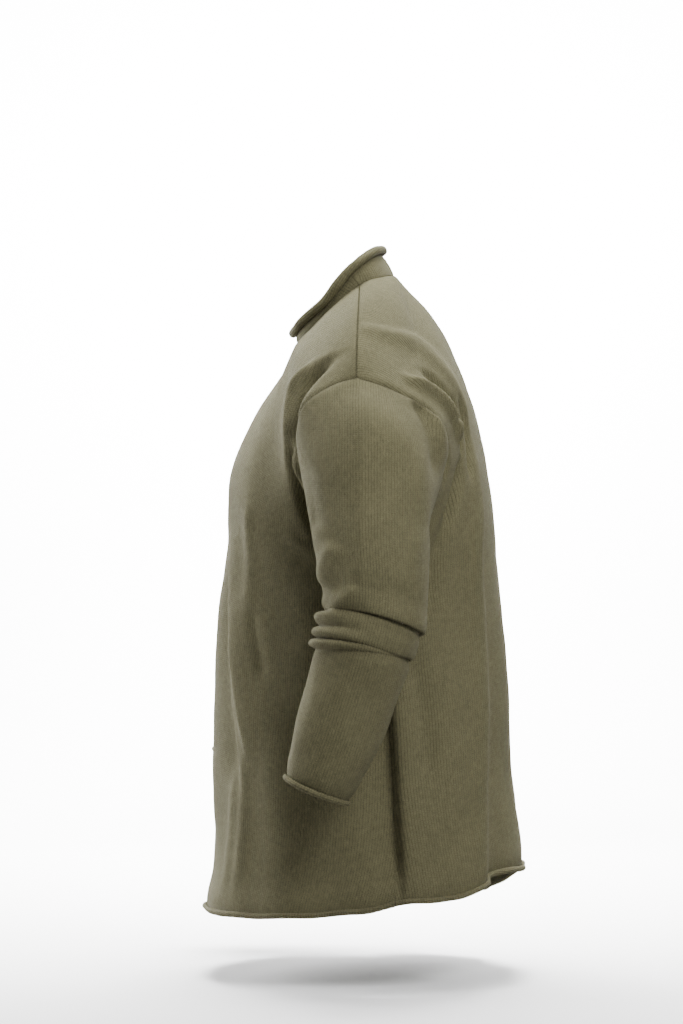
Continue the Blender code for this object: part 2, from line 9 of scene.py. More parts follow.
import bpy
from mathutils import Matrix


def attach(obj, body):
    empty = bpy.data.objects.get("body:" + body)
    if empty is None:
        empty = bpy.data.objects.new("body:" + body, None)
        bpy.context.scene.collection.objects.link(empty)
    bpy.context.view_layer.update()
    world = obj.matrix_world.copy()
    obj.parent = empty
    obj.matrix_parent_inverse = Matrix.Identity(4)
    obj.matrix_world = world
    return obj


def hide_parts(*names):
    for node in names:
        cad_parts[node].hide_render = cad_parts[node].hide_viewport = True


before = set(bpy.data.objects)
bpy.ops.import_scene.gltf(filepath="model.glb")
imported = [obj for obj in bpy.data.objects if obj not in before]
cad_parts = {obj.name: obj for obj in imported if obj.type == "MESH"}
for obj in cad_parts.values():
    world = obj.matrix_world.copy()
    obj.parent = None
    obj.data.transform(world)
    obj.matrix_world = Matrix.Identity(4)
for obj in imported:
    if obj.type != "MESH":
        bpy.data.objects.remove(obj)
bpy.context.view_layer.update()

# %% [markdown]
# ## Tools for smooth tables
#
# The pattern of a garment is a few measured lines and what lies between them.
# Short tables hold those lines, and a smooth curve is read between their rows.

# %% Smooth tables
import math
from collections import namedtuple

import bpy
import numpy as np
from mathutils import Vector


def smooth(xs, ys, at):
    """Smooth curve through the points xs, ys, read at the values at. ys may hold several columns."""
    xs = np.asarray(xs, float)
    ys = np.asarray(ys, float).reshape(len(xs), -1)
    at = np.clip(np.atleast_1d(np.asarray(at, float)), xs[0], xs[-1])
    steps = np.diff(xs)[:, None]
    slopes = np.diff(ys, axis=0) / steps
    tangents = np.zeros_like(ys)
    tangents[0] = slopes[0]
    tangents[-1] = slopes[-1]
    tangents[1:-1] = (slopes[:-1] * steps[1:] + slopes[1:] * steps[:-1]) / (steps[:-1] + steps[1:])
    k = np.clip(np.searchsorted(xs, at, side="right") - 1, 0, len(xs) - 2)
    h = steps[k]
    t = (at - xs[k])[:, None] / h
    return (
        (2 * t**3 - 3 * t**2 + 1) * ys[k]
        + (t**3 - 2 * t**2 + t) * h * tangents[k]
        + (3 * t**2 - 2 * t**3) * ys[k + 1]
        + (t**3 - t**2) * h * tangents[k + 1]
    )


def ease(t):
    """0 to 1, slow at both ends."""
    t = np.clip(t, 0.0, 1.0)
    return t * t * (3 - 2 * t)


def unit(vectors):
    """Vectors of length 1."""
    return vectors / np.maximum(np.linalg.norm(vectors, axis=-1, keepdims=True), 1e-12)


# %% [markdown]
# ## The cut and the pose
#
# These lines follow the solids' own: the centre lines of front and back as chest and shoulders shape
# them, the side seam, the armhole, the neck seam and the hem.

# %% Lines of the garment
WALL = 0.0020
HEM_ROLL = 0.0070
HEM_DRAW_IN = 0.0024
CUFF_ROLL = 0.0068
COLLAR_ROLL = 0.0118
CHEST_ROW_Z = -0.2850
FRONT_NECK_SHARE = 0.62
BACK_NECK_SHARE = 0.72
LOWER_ROWS = 11
FRONT_CHEST_ROWS = 6
FRONT_NECK_ROWS = 7
BACK_CHEST_ROWS = 7
BACK_NECK_ROWS = 6
HALF_COLUMNS = 13

Line = namedtuple("Line", "z y")
FRONT_LINE = (
    Line(-0.692, -0.1630),
    Line(-0.660, -0.1555),
    Line(-0.620, -0.1505),
    Line(-0.510, -0.1490),
    Line(-0.400, -0.1458),
    Line(-0.300, -0.1372),
    Line(-0.240, -0.1368),
    Line(-0.205, -0.1335),
    Line(-0.158, -0.1152),
    Line(-0.115, -0.0900),
    Line(-0.085, -0.0690),
    Line(-0.061, -0.0576),
)
BACK_LINE = (
    Line(-0.643, 0.1950),
    Line(-0.600, 0.1890),
    Line(-0.540, 0.1808),
    Line(-0.456, 0.1785),
    Line(-0.348, 0.1717),
    Line(-0.266, 0.1627),
    Line(-0.199, 0.1525),
    Line(-0.145, 0.1410),
    Line(-0.090, 0.1235),
    Line(-0.036, 0.0935),
    Line(-0.008, 0.0730),
    Line(0.0135, 0.0497),
)

# Girth runs 0 front centre, 1 left side seam, 2 back centre, 3 right side seam, 4 front centre
Hem = namedtuple("Hem", "girth z")
HEM = (
    Hem(0.00, -0.6930),
    Hem(0.30, -0.6900),
    Hem(0.62, -0.6890),
    Hem(0.80, -0.6855),
    Hem(0.93, -0.6800),
    Hem(1.00, -0.6720),
    Hem(1.20, -0.6660),
    Hem(1.33, -0.6630),
    Hem(1.41, -0.6565),
    Hem(1.50, -0.6495),
    Hem(1.80, -0.6485),
    Hem(2.00, -0.6480),
    Hem(2.15, -0.6540),
    Hem(2.35, -0.6800),
    Hem(2.52, -0.6890),
    Hem(2.75, -0.6895),
    Hem(3.00, -0.6810),
    Hem(3.20, -0.6830),
    Hem(3.38, -0.6880),
    Hem(3.70, -0.6900),
    Hem(4.00, -0.6930),
)

Seam = namedtuple("Seam", "share x y z")
SIDE_SEAM = (
    Seam(0.00, 0.2140, 0.048, -0.6690),
    Seam(0.10, 0.2080, 0.048, -0.6320),
    Seam(0.30, 0.2020, 0.047, -0.5570),
    Seam(0.55, 0.1990, 0.043, -0.4630),
    Seam(0.80, 0.1960, 0.036, -0.3700),
    Seam(0.94, 0.1955, 0.032, -0.3200),
    Seam(1.00, 0.2050, 0.030, -0.3000),
)

# Turn is in degrees round the left armhole: 0 at the shoulder seam, 90 at the front, 180 at the underarm
Armhole = namedtuple("Armhole", "turn x y z")
ARMHOLE = (
    Armhole(0, 0.2400, 0.0065, -0.1065),
    Armhole(20, 0.2390, -0.0130, -0.1115),
    Armhole(40, 0.2350, -0.0350, -0.1225),
    Armhole(60, 0.2270, -0.0520, -0.1380),
    Armhole(80, 0.2150, -0.0578, -0.1660),
    Armhole(100, 0.2060, -0.0535, -0.2050),
    Armhole(125, 0.2000, -0.0390, -0.2500),
    Armhole(152, 0.2010, -0.0080, -0.2870),
    Armhole(180, 0.2050, 0.0300, -0.3000),
    Armhole(208, 0.2000, 0.0640, -0.2820),
    Armhole(235, 0.1950, 0.0890, -0.2420),
    Armhole(258, 0.1950, 0.1010, -0.2020),
    Armhole(278, 0.2010, 0.1030, -0.1680),
    Armhole(297, 0.2120, 0.0905, -0.1430),
    Armhole(318, 0.2260, 0.0610, -0.1265),
    Armhole(340, 0.2370, 0.0320, -0.1140),
    Armhole(360, 0.2400, 0.0065, -0.1065),
)

# Turn is in degrees round the neck: 0 at the front, 90 at the left shoulder seam, 180 at the back
Neck = namedtuple("Neck", "turn x y z")
NECK_SEAM = (
    Neck(0, 0.0000, -0.0576, -0.0602),
    Neck(30, 0.0410, -0.0495, -0.0520),
    Neck(60, 0.0675, -0.0245, -0.0265),
    Neck(90, 0.0755, 0.0105, 0.0020),
    Neck(120, 0.0660, 0.0300, 0.0100),
    Neck(150, 0.0380, 0.0448, 0.0140),
    Neck(180, 0.0000, 0.0497, 0.0155),
)
NECK_TOP = (
    Neck(0, 0.0000, -0.0592, -0.0487),
    Neck(30, 0.0380, -0.0505, -0.0385),
    Neck(60, 0.0632, -0.0260, -0.0185),
    Neck(90, 0.0700, 0.0010, 0.0165),
    Neck(120, 0.0602, 0.0155, 0.0300),
    Neck(150, 0.0350, 0.0280, 0.0400),
    Neck(180, 0.0000, 0.0335, 0.0415),
)

# Handles of the curve that each row follows, from the centre or neck to the side or armhole
Row = namedtuple("Row", "share in_x in_y in_z out_x out_y out_z")
LOWER_FRONT = (
    Row(0.0, 0.130, 0.000, 0.000, 0.000, -0.125, 0.000),
    Row(0.5, 0.128, 0.000, 0.000, 0.000, -0.115, -0.012),
    Row(1.0, 0.125, 0.000, 0.000, 0.000, -0.100, -0.040),
)
LOWER_BACK = (
    Row(0.0, 0.115, 0.000, 0.000, 0.000, 0.085, 0.000),
    Row(0.5, 0.118, 0.000, 0.000, 0.000, 0.080, -0.010),
    Row(1.0, 0.122, 0.000, 0.000, 0.000, 0.075, -0.034),
)
UPPER_FRONT = (
    Row(0.00, 0.125, 0.000, 0.000, 0.000, -0.100, -0.040),
    Row(0.15, 0.122, 0.000, 0.000, -0.022, -0.085, -0.028),
    Row(0.30, 0.115, 0.000, 0.000, -0.052, -0.058, -0.010),
    Row(0.45, 0.105, -0.002, -0.002, -0.075, -0.030, 0.010),
    Row(0.62, 0.085, -0.010, -0.010, -0.072, -0.012, 0.030),
    Row(0.80, 0.066, -0.008, -0.015, -0.050, -0.004, 0.046),
    Row(1.00, 0.060, 0.000, -0.012, -0.020, 0.000, 0.058),
)
UPPER_BACK = (
    Row(0.00, 0.122, 0.000, 0.000, 0.000, 0.075, -0.034),
    Row(0.15, 0.120, 0.000, 0.000, -0.022, 0.068, -0.022),
    Row(0.30, 0.116, 0.000, 0.000, -0.050, 0.048, -0.006),
    Row(0.50, 0.105, 0.000, 0.000, -0.078, 0.024, 0.015),
    Row(0.72, 0.080, 0.010, -0.004, -0.065, 0.012, 0.040),
    Row(0.86, 0.064, 0.008, -0.010, -0.042, 0.006, 0.050),
    Row(1.00, 0.060, 0.000, -0.012, -0.020, 0.000, 0.058),
)
UNDERARM_EASE = 0.075
UNDERARM_SHARE = 0.8
UNDERARM_PASSES = 24

# %% [markdown]
# ## Body panels
#
# Front and back are knitted flat, row by row, and shaped at armhole and neck.
# Half a panel is worked out as rows of points from the centre to its edge, with the same spacing as the
# solid, and then read more finely. Its corner at the underarm and its corner at the neck stay sharp.


# %% Half panels
def read_rows(table, at):
    """Every column of a table after its first one."""
    return smooth([row[0] for row in table], [row[1:] for row in table], at)


def read_line(line, z):
    """How far forward or back a centre line lies at those heights."""
    rows = sorted(line)
    return smooth([row.z for row in rows], [row.y for row in rows], z)[:, 0]


def neck_loop(neck, turn):
    """Points of a loop round the neck at those turns."""
    left = np.array(neck, float)
    right = left[1:-1][::-1] * (-1, -1, 1, 1)
    rows = np.concatenate([right, left, right + (360, 0, 0, 0)])
    turn = (np.degrees(np.atleast_1d(turn)) + 90) % 360 - 90
    return smooth(rows[:, 0], rows[:, 1:], turn)


def curve_row(start, start_handle, end_handle, end, share):
    """Points of one Bezier curve at those shares of its way."""
    s = share[:, None]
    return (
        (1 - s) ** 3 * start
        + 3 * (1 - s) ** 2 * s * (start + start_handle)
        + 3 * (1 - s) * s**2 * (end + end_handle)
        + s**3 * end
    )


def curve_rows(start, handles, end):
    """Rows of evenly shared points, one curve for each start, pair of handles and end."""
    across = np.linspace(0, 1, HALF_COLUMNS + 1)
    return np.array([curve_row(a, h[:3], h[3:], b, across) for a, h, b in zip(start, handles, end)])


def girths_across(front, side, across):
    """The girth at that share of the way from a panel's centre to its left edge, side 1, or right one."""
    if front:
        return across if side == 1 else 4 - across
    return 2 - side * across


def coarse_half(front, side):
    """Half a panel drawn at +X, from hem to shoulder seam, and the row that meets the neck first."""
    line = FRONT_LINE if front else BACK_LINE
    chest_rows = FRONT_CHEST_ROWS if front else BACK_CHEST_ROWS
    neck_rows = FRONT_NECK_ROWS if front else BACK_NECK_ROWS
    across = np.linspace(0, 1, HALF_COLUMNS + 1)
    share = np.linspace(0, 1, LOWER_ROWS + 1)
    hem_z = read_rows(HEM, girths_across(front, side, across))[:, 0]
    z = hem_z[0] + (CHEST_ROW_Z - hem_z[0]) * share
    start = np.stack([np.zeros_like(z), read_line(line, z), z], axis=1)
    end = read_rows(SIDE_SEAM, share)
    lower = curve_rows(start, read_rows(LOWER_FRONT if front else LOWER_BACK, share), end)
    straight = z[0] + (end[0, 2] - z[0]) * across
    lower[:, :, 2] += (hem_z - straight) * (1 - share[:, None])
    neck_share = FRONT_NECK_SHARE if front else BACK_NECK_SHARE
    share = np.concatenate(
        [np.linspace(0, neck_share, chest_rows + 1), np.linspace(neck_share, 1, neck_rows + 1)[1:]]
    )
    top_z = NECK_SEAM[0 if front else -1].z
    z = np.linspace(CHEST_ROW_Z, top_z, chest_rows + 1)
    centre = np.stack([np.zeros_like(z), read_line(line, z), z], axis=1)
    quarter = np.linspace(0, math.pi / 2, neck_rows + 1)
    start = np.concatenate([centre[:-1], neck_loop(NECK_SEAM, quarter if front else math.pi - quarter)])
    end = read_rows(ARMHOLE, 180 * (1 - share) if front else 180 * (1 + share))
    upper = curve_rows(start, read_rows(UPPER_FRONT if front else UPPER_BACK, share), end)
    grid = np.concatenate([lower, upper[1:]])
    away = np.linalg.norm(grid - grid[LOWER_ROWS, -1], axis=2)
    weight = np.exp(-((away / UNDERARM_EASE) ** 2))[1:-1, 1:-1, None] * UNDERARM_SHARE
    for _ in range(UNDERARM_PASSES):
        mean = (grid[:-2, 1:-1] + grid[2:, 1:-1] + grid[1:-1, :-2] + grid[1:-1, 2:]) / 4
        grid[1:-1, 1:-1] += (mean - grid[1:-1, 1:-1]) * weight
    return grid, LOWER_ROWS + chest_rows


LOWER_FINE = 8
UPPER_FINE = 5
COLUMN_FINE = 6
BY_A_SEAM = (0.045, 0.10)
CORNER_COLUMNS = 3


def denser(places, seams):
    """Adds places close to each seam, where the cloth dips."""
    extra = [seam + turn * step for seam in seams for turn in (-1, 1) for step in BY_A_SEAM]
    inside = [place for place in extra if places[0] < place < places[-1]]
    return np.unique(np.concatenate([places, inside]).round(6))


def read_grid(grid, rows, breaks):
    """A grid read at fractional rows, smooth except across the rows in breaks."""
    flat = grid.reshape(len(grid), -1)
    edges = [0] + sorted(breaks) + [len(grid) - 1]
    out = np.zeros((len(rows), flat.shape[1]))
    for low, high in zip(edges[:-1], edges[1:]):
        inside = (rows >= low) & (rows <= high)
        out[inside] = smooth(np.arange(low, high + 1), flat[low : high + 1], rows[inside])
    return out.reshape((len(rows),) + grid.shape[1:])


def fine_half(front, side):
    """Half a panel read finely, with its rows' places counted in coarse rows."""
    grid, neck_row = coarse_half(front, side)
    last = len(grid) - 1
    rows = np.concatenate(
        [
            np.linspace(0, LOWER_ROWS, LOWER_ROWS * LOWER_FINE + 1),
            np.linspace(LOWER_ROWS, last, (last - LOWER_ROWS) * UPPER_FINE + 1)[1:],
        ]
    )
    rows = denser(rows, [last])
    ghost = grid[:, 1] * (-1, 1, 1)
    ghost[neck_row + 1 :] = 2 * grid[neck_row + 1 :, 0] - grid[neck_row + 1 :, 1]
    wide = np.concatenate([ghost[:, None], grid], axis=1)
    columns = denser(np.linspace(0, HALF_COLUMNS, HALF_COLUMNS * COLUMN_FINE + 1), [0, HALF_COLUMNS])
    wide = read_grid(wide.transpose(1, 0, 2), columns + 1, []).transpose(1, 0, 2)
    even = read_grid(wide, rows, [])
    at_neck = read_grid(wide, rows, [neck_row])
    at_side = read_grid(wide, rows, [LOWER_ROWS])
    neck_weight = ease(1 - columns / CORNER_COLUMNS)[None, :, None]
    side_weight = ease(1 - (HALF_COLUMNS - columns) / CORNER_COLUMNS)[None, :, None]
    fine = even + (at_neck - even) * neck_weight + (at_side - even) * side_weight
    fine[rows <= neck_row, 0, 0] = 0
    return fine, rows, columns / HALF_COLUMNS, neck_row


halves = {(front, side): fine_half(front, side) for front in (True, False) for side in (1, -1)}
for front in (True, False):
    print("half panel, rows and columns of points:", halves[front, 1][0].shape[:2])

# %% [markdown]
# ## Folds of the body
#
# Soft wool hangs in broad folds, each a ridge with a trough beside it. They start where something
# pulls: the shoulder point, the underarm and the fullness at the side seam.
# Each row of the table is one ridge or trough along a curve through three places, given by girth and
# height. ahead and behind are its half widths towards the lower and the higher girth, in metres.

# %% Fold tables
GIRTH_METRES = 0.30
GIRTH_ROUND = 4.0
Fold = namedtuple("Fold", "girth0 z0 girth1 z1 girth2 z2 ahead behind depth")
BODY_FOLDS = (
    Fold(0.66, -0.082, 0.84, -0.148, 1.03, -0.230, 0.030, 0.006, 0.0085),
    Fold(0.73, -0.082, 0.92, -0.144, 1.07, -0.225, 0.006, 0.011, -0.0190),
    Fold(0.90, -0.160, 0.91, -0.230, 0.93, -0.330, 0.012, 0.014, -0.0120),
    Fold(0.20, -0.255, 0.30, -0.400, 0.46, -0.540, 0.009, 0.036, 0.0075),
    Fold(0.12, -0.300, 0.20, -0.420, 0.37, -0.580, 0.024, 0.010, -0.0080),
    Fold(0.01, -0.280, 0.03, -0.450, 0.06, -0.660, 0.030, 0.030, 0.0045),
    Fold(0.47, -0.230, 0.40, -0.300, 0.41, -0.370, 0.014, 0.014, 0.0030),
    Fold(0.41, -0.355, 0.455, -0.395, 0.51, -0.440, 0.008, 0.010, -0.0035),
    Fold(0.30, -0.520, 0.29, -0.600, 0.27, -0.690, 0.010, 0.013, 0.0024),
    Fold(0.38, -0.500, 0.38, -0.590, 0.36, -0.680, 0.009, 0.011, 0.0022),
    Fold(0.57, -0.460, 0.58, -0.570, 0.60, -0.710, 0.026, 0.032, 0.0038),
    Fold(0.76, -0.420, 0.77, -0.560, 0.80, -0.700, 0.030, 0.026, -0.0028),
    Fold(1.000, -0.330, 1.000, -0.510, 1.034, -0.684, 0.030, 0.0055, -0.0135),
    Fold(1.020, -0.330, 1.020, -0.510, 1.056, -0.690, 0.0055, 0.040, 0.0060),
    Fold(1.13, -0.390, 1.15, -0.470, 1.18, -0.560, 0.016, 0.016, -0.0048),
    Fold(1.30, -0.400, 1.29, -0.540, 1.27, -0.700, 0.024, 0.030, 0.0030),
    Fold(1.53, -0.150, 1.545, -0.370, 1.370, -0.740, 0.032, 0.016, 0.0080),
    Fold(1.66, -0.190, 1.66, -0.390, 1.470, -0.740, 0.016, 0.036, -0.0078),
    Fold(1.42, -0.044, 1.40, -0.092, 1.58, -0.160, 0.018, 0.024, 0.0048),
    Fold(1.11, -0.104, 1.165, -0.126, 1.245, -0.160, 0.009, 0.008, 0.0085),
    Fold(1.240, -0.148, 1.246, -0.158, 1.244, -0.172, 0.010, 0.009, 0.0075),
    Fold(1.25, -0.094, 1.265, -0.120, 1.37, -0.150, 0.008, 0.009, -0.0085),
    Fold(1.38, -0.135, 1.45, -0.160, 1.43, -0.225, 0.010, 0.011, -0.0080),
    Fold(1.31, -0.142, 1.315, -0.162, 1.30, -0.190, 0.007, 0.009, -0.0080),
    Fold(1.30, -0.190, 1.26, -0.225, 1.25, -0.270, 0.012, 0.012, -0.0060),
    Fold(1.27, -0.190, 1.22, -0.280, 1.20, -0.370, 0.016, 0.018, -0.0060),
    Fold(1.83, -0.330, 1.82, -0.500, 1.80, -0.740, 0.030, 0.030, 0.0035),
    Fold(1.94, -0.260, 1.95, -0.430, 1.93, -0.680, 0.030, 0.030, -0.0040),
    Fold(2.17, -0.350, 2.16, -0.520, 2.19, -0.740, 0.030, 0.030, 0.0045),
    Fold(2.47, -0.150, 2.43, -0.380, 2.54, -0.740, 0.010, 0.030, 0.0080),
    Fold(2.36, -0.190, 2.32, -0.390, 2.43, -0.740, 0.034, 0.011, -0.0090),
    Fold(2.56, -0.040, 2.53, -0.090, 2.45, -0.160, 0.016, 0.022, 0.0035),
    Fold(2.68, -0.070, 2.79, -0.115, 2.75, -0.158, 0.009, 0.010, 0.0050),
    Fold(2.56, -0.070, 2.68, -0.132, 2.72, -0.210, 0.012, 0.016, -0.0080),
    Fold(2.73, -0.195, 2.78, -0.285, 2.80, -0.360, 0.018, 0.016, -0.0060),
    Fold(2.960, -0.360, 2.965, -0.540, 2.970, -0.740, 0.042, 0.009, 0.0080),
    Fold(3.015, -0.370, 3.020, -0.540, 3.030, -0.740, 0.009, 0.034, -0.0200),
    Fold(3.22, -0.440, 3.22, -0.560, 3.20, -0.710, 0.026, 0.030, -0.0028),
    Fold(3.42, -0.460, 3.41, -0.570, 3.38, -0.710, 0.032, 0.026, 0.0036),
    Fold(3.44, -0.068, 3.33, -0.140, 3.12, -0.248, 0.010, 0.028, 0.0080),
    Fold(3.07, -0.105, 3.09, -0.190, 3.07, -0.325, 0.014, 0.014, -0.0140),
    Fold(3.79, -0.280, 3.68, -0.410, 3.53, -0.550, 0.034, 0.010, 0.0065),
    Fold(3.88, -0.310, 3.79, -0.440, 3.64, -0.590, 0.011, 0.024, -0.0070),
    Fold(3.53, -0.240, 3.58, -0.310, 3.57, -0.380, 0.014, 0.014, 0.0030),
    Fold(3.67, -0.530, 3.69, -0.610, 3.71, -0.690, 0.013, 0.010, 0.0024),
    Fold(0.96, -0.325, 0.84, -0.300, 0.68, -0.268, 0.008, 0.008, 0.0018),
    Fold(3.04, -0.325, 3.17, -0.302, 3.31, -0.275, 0.008, 0.008, 0.0018),
)
STEPS_ALONG = 16
FADE = 0.22
LONG_FADE = 0.35
BELOW_HEM = -0.70


def fold_heights(across, up, folds, metres, around=None):
    """How far the folds push each point out. across is a girth, or a length, worth that many metres."""
    height = np.zeros(across.shape)
    t = np.linspace(0, 1, STEPS_ALONG + 1)[:, None]
    for f in folds:
        start, middle, end = np.array(f[0:2]), np.array(f[2:4]), np.array(f[4:6])
        handle = 2 * middle - (start + end) / 2
        path = (1 - t) ** 2 * start + 2 * t * (1 - t) * handle + t**2 * end
        best = np.full(across.shape, 1e9)
        value = np.zeros(across.shape)
        for k in range(STEPS_ALONG):
            x = across - path[k, 0]
            if around:
                x = (x + around / 2) % around - around / 2
            x, y = x * metres, up - path[k, 1]
            along = (path[k + 1] - path[k]) * (metres, 1)
            s = np.clip((x * along[0] + y * along[1]) / (along @ along), 0, 1)
            dx, dy = x - s * along[0], y - s * along[1]
            away = np.hypot(dx, dy)
            place = (k + s) / STEPS_ALONG
            width = np.where(dx < 0, f.ahead, f.behind)
            fade = ease(place / FADE) * ease((1 - place) / FADE)
            if f.z2 < BELOW_HEM:
                fade = ease(place / LONG_FADE)
            near = away < best
            best = np.where(near, away, best)
            value = np.where(near, fade * np.exp(-((away / width) ** 2)), value)
        height += f.depth * value
    return height


# %% [markdown]
# ## Sleeves
#
# Each sleeve is a tube from the armhole to a rolled cuff. It hangs from the shoulder point, bends at the
# elbow, and is pushed up there, so its spare length lies in thick tucks: the upper sleeve overhangs like
# a lip, a broad band comes out from under it, and a thin roll lies below.
# Each tuck is one row. place counts along the elbow and out is how far the cloth stands out there,
# at the back of the arm, on its outer side, and at its front.

# %% Sleeve tables
Ring = namedtuple("Ring", "x y z half_width half_depth lean tip")
LEFT_RINGS = (
    Ring(0.2530, 0.0205, -0.2400, 0.0820, 0.0660, 0.0, 69.0),
    Ring(0.2640, 0.0230, -0.2900, 0.0590, 0.0600, 2.0, 44.0),
    Ring(0.2700, 0.0250, -0.3260, 0.0520, 0.0565, 5.0, 20.0),
    Ring(0.2720, 0.0245, -0.3600, 0.0500, 0.0545, 13.0, 11.0),
    Ring(0.2750, 0.0130, -0.4030, 0.0480, 0.0500, 15.0, 3.0),
    Ring(0.2760, 0.0045, -0.4300, 0.0450, 0.0483, 17.0, 0.0),
    Ring(0.2760, -0.0118, -0.4800, 0.0430, 0.0462, 18.0, -1.0),
    Ring(0.2750, -0.0280, -0.5250, 0.0375, 0.0395, 21.0, -2.0),
    Ring(0.2740, -0.0352, -0.5440, 0.0315, 0.0335, 23.0, -3.0),
)
RIGHT_RINGS = (
    Ring(0.2530, 0.0205, -0.2400, 0.0820, 0.0660, 0.0, 69.0),
    Ring(0.2640, 0.0205, -0.2900, 0.0590, 0.0610, 3.0, 44.0),
    Ring(0.2700, 0.0165, -0.3260, 0.0520, 0.0570, 9.0, 20.0),
    Ring(0.2720, 0.0080, -0.3600, 0.0500, 0.0550, 20.0, 11.0),
    Ring(0.2740, -0.0110, -0.4020, 0.0480, 0.0510, 30.0, 3.0),
    Ring(0.2740, -0.0340, -0.4330, 0.0450, 0.0483, 36.0, 0.0),
    Ring(0.2735, -0.0780, -0.4865, 0.0430, 0.0462, 37.0, -1.0),
    Ring(0.2720, -0.1223, -0.5403, 0.0375, 0.0395, 37.0, -2.0),
    Ring(0.2700, -0.1334, -0.5545, 0.0315, 0.0335, 38.0, -3.0),
)
ELBOW_STATION = 4.0
Tuck = namedtuple("Tuck", "place_back place_side place_front out_back out_side out_front")
TUCKS = (
    Tuck(-0.35, -0.45, -0.40, 0.0000, 0.0000, 0.0000),
    Tuck(0.00, -0.05, -0.06, 0.0028, 0.0036, 0.0012),
    Tuck(0.12, 0.09, 0.10, 0.0032, 0.0036, -0.0020),
    Tuck(0.15, 0.13, 0.17, 0.0012, 0.0014, -0.0060),
    Tuck(0.09, 0.06, 0.16, -0.0060, -0.0050, -0.0080),
    Tuck(0.20, 0.16, 0.24, -0.0032, -0.0015, 0.0015),
    Tuck(0.33, 0.29, 0.32, -0.0006, 0.0008, 0.0074),
    Tuck(0.42, 0.40, 0.43, 0.0004, 0.0014, 0.0062),
    Tuck(0.51, 0.50, 0.54, 0.0008, 0.0018, -0.0005),
    Tuck(0.61, 0.60, 0.64, 0.0010, 0.0024, 0.0064),
    Tuck(0.69, 0.69, 0.73, 0.0008, 0.0022, 0.0076),
    Tuck(0.775, 0.755, 0.805, -0.0010, -0.0008, 0.0010),
    Tuck(0.74, 0.735, 0.83, -0.0060, -0.0042, -0.0035),
    Tuck(0.775, 0.775, 0.91, -0.0050, 0.0004, 0.0064),
    Tuck(0.80, 0.82, 0.98, -0.0045, 0.0012, 0.0084),
    Tuck(0.83, 0.865, 1.06, -0.0040, 0.0002, 0.0070),
    Tuck(0.87, 0.91, 1.14, -0.0032, -0.0012, -0.0004),
    Tuck(1.05, 1.12, 1.34, 0.0000, 0.0000, 0.0000),
)
CAP_STEPS = 48
CAP_SHARES = np.unique(np.concatenate([np.linspace(0, 1, CAP_STEPS + 1)[:-1], (0.006, 0.013)]))
TUCK_STEPS = 4
FOREARM_STEPS = 44

# %% [markdown]
# The sleeve's outer side also has a pressed line down its middle and short diagonal drags. They are
# placed in side view, by how far forward and how high they lie.

# %% Folds of the sleeve
LEFT_SLEEVE_FOLDS = (
    Fold(-0.0150, -0.280, -0.0260, -0.306, -0.0330, -0.330, 0.008, 0.012, 0.0050),
    Fold(-0.0240, -0.357, -0.0080, -0.343, 0.0100, -0.326, 0.007, 0.007, 0.0035),
    Fold(0.0620, -0.126, 0.0850, -0.160, 0.0920, -0.225, 0.008, 0.006, -0.0060),
    Fold(0.0780, -0.132, 0.0960, -0.160, 0.1000, -0.215, 0.005, 0.006, 0.0045),
    Fold(-0.0600, -0.190, -0.0480, -0.235, -0.0400, -0.275, 0.014, 0.014, -0.0050),
    Fold(0.0520, -0.336, 0.0660, -0.302, 0.0740, -0.262, 0.011, 0.011, 0.0025),
    Fold(-0.0300, -0.430, -0.0420, -0.465, -0.0500, -0.505, 0.008, 0.012, 0.0018),
    Fold(0.0240, -0.428, 0.0150, -0.460, 0.0020, -0.500, 0.010, 0.010, -0.0016),
)
RIGHT_SLEEVE_FOLDS = (
    Fold(-0.0300, -0.185, -0.0390, -0.215, -0.0430, -0.250, 0.007, 0.012, 0.0035),
    Fold(-0.0150, -0.275, -0.0300, -0.300, -0.0400, -0.322, 0.008, 0.012, 0.0050),
    Fold(0.0620, -0.128, 0.0850, -0.162, 0.0900, -0.218, 0.008, 0.006, -0.0055),
    Fold(0.0780, -0.134, 0.0950, -0.160, 0.0980, -0.210, 0.005, 0.006, 0.0040),
    Fold(-0.0380, -0.140, -0.0550, -0.165, -0.0540, -0.210, 0.006, 0.008, 0.0035),
    Fold(0.0380, -0.334, 0.0560, -0.300, 0.0660, -0.262, 0.011, 0.011, 0.0030),
)
PRESSED_LINE_Y = 0.0122
PRESSED_TOP = -0.112
PRESSED_END = -0.352
PRESSED_DEPTH = 0.0034
PRESSED_WIDTH = 0.0200


def ring_points(ring, angles):
    """Points round one section of the left sleeve."""
    lean, tip = math.radians(ring.lean), math.radians(ring.tip)
    out = np.array([math.cos(tip), 0, math.sin(tip)])
    forward = np.array([0, -math.cos(lean), math.sin(lean)])
    middle = np.array([ring.x, ring.y, ring.z])
    c, s = np.cos(angles)[:, None], np.sin(angles)[:, None]
    return middle + ring.half_width * c * out + ring.half_depth * s * forward


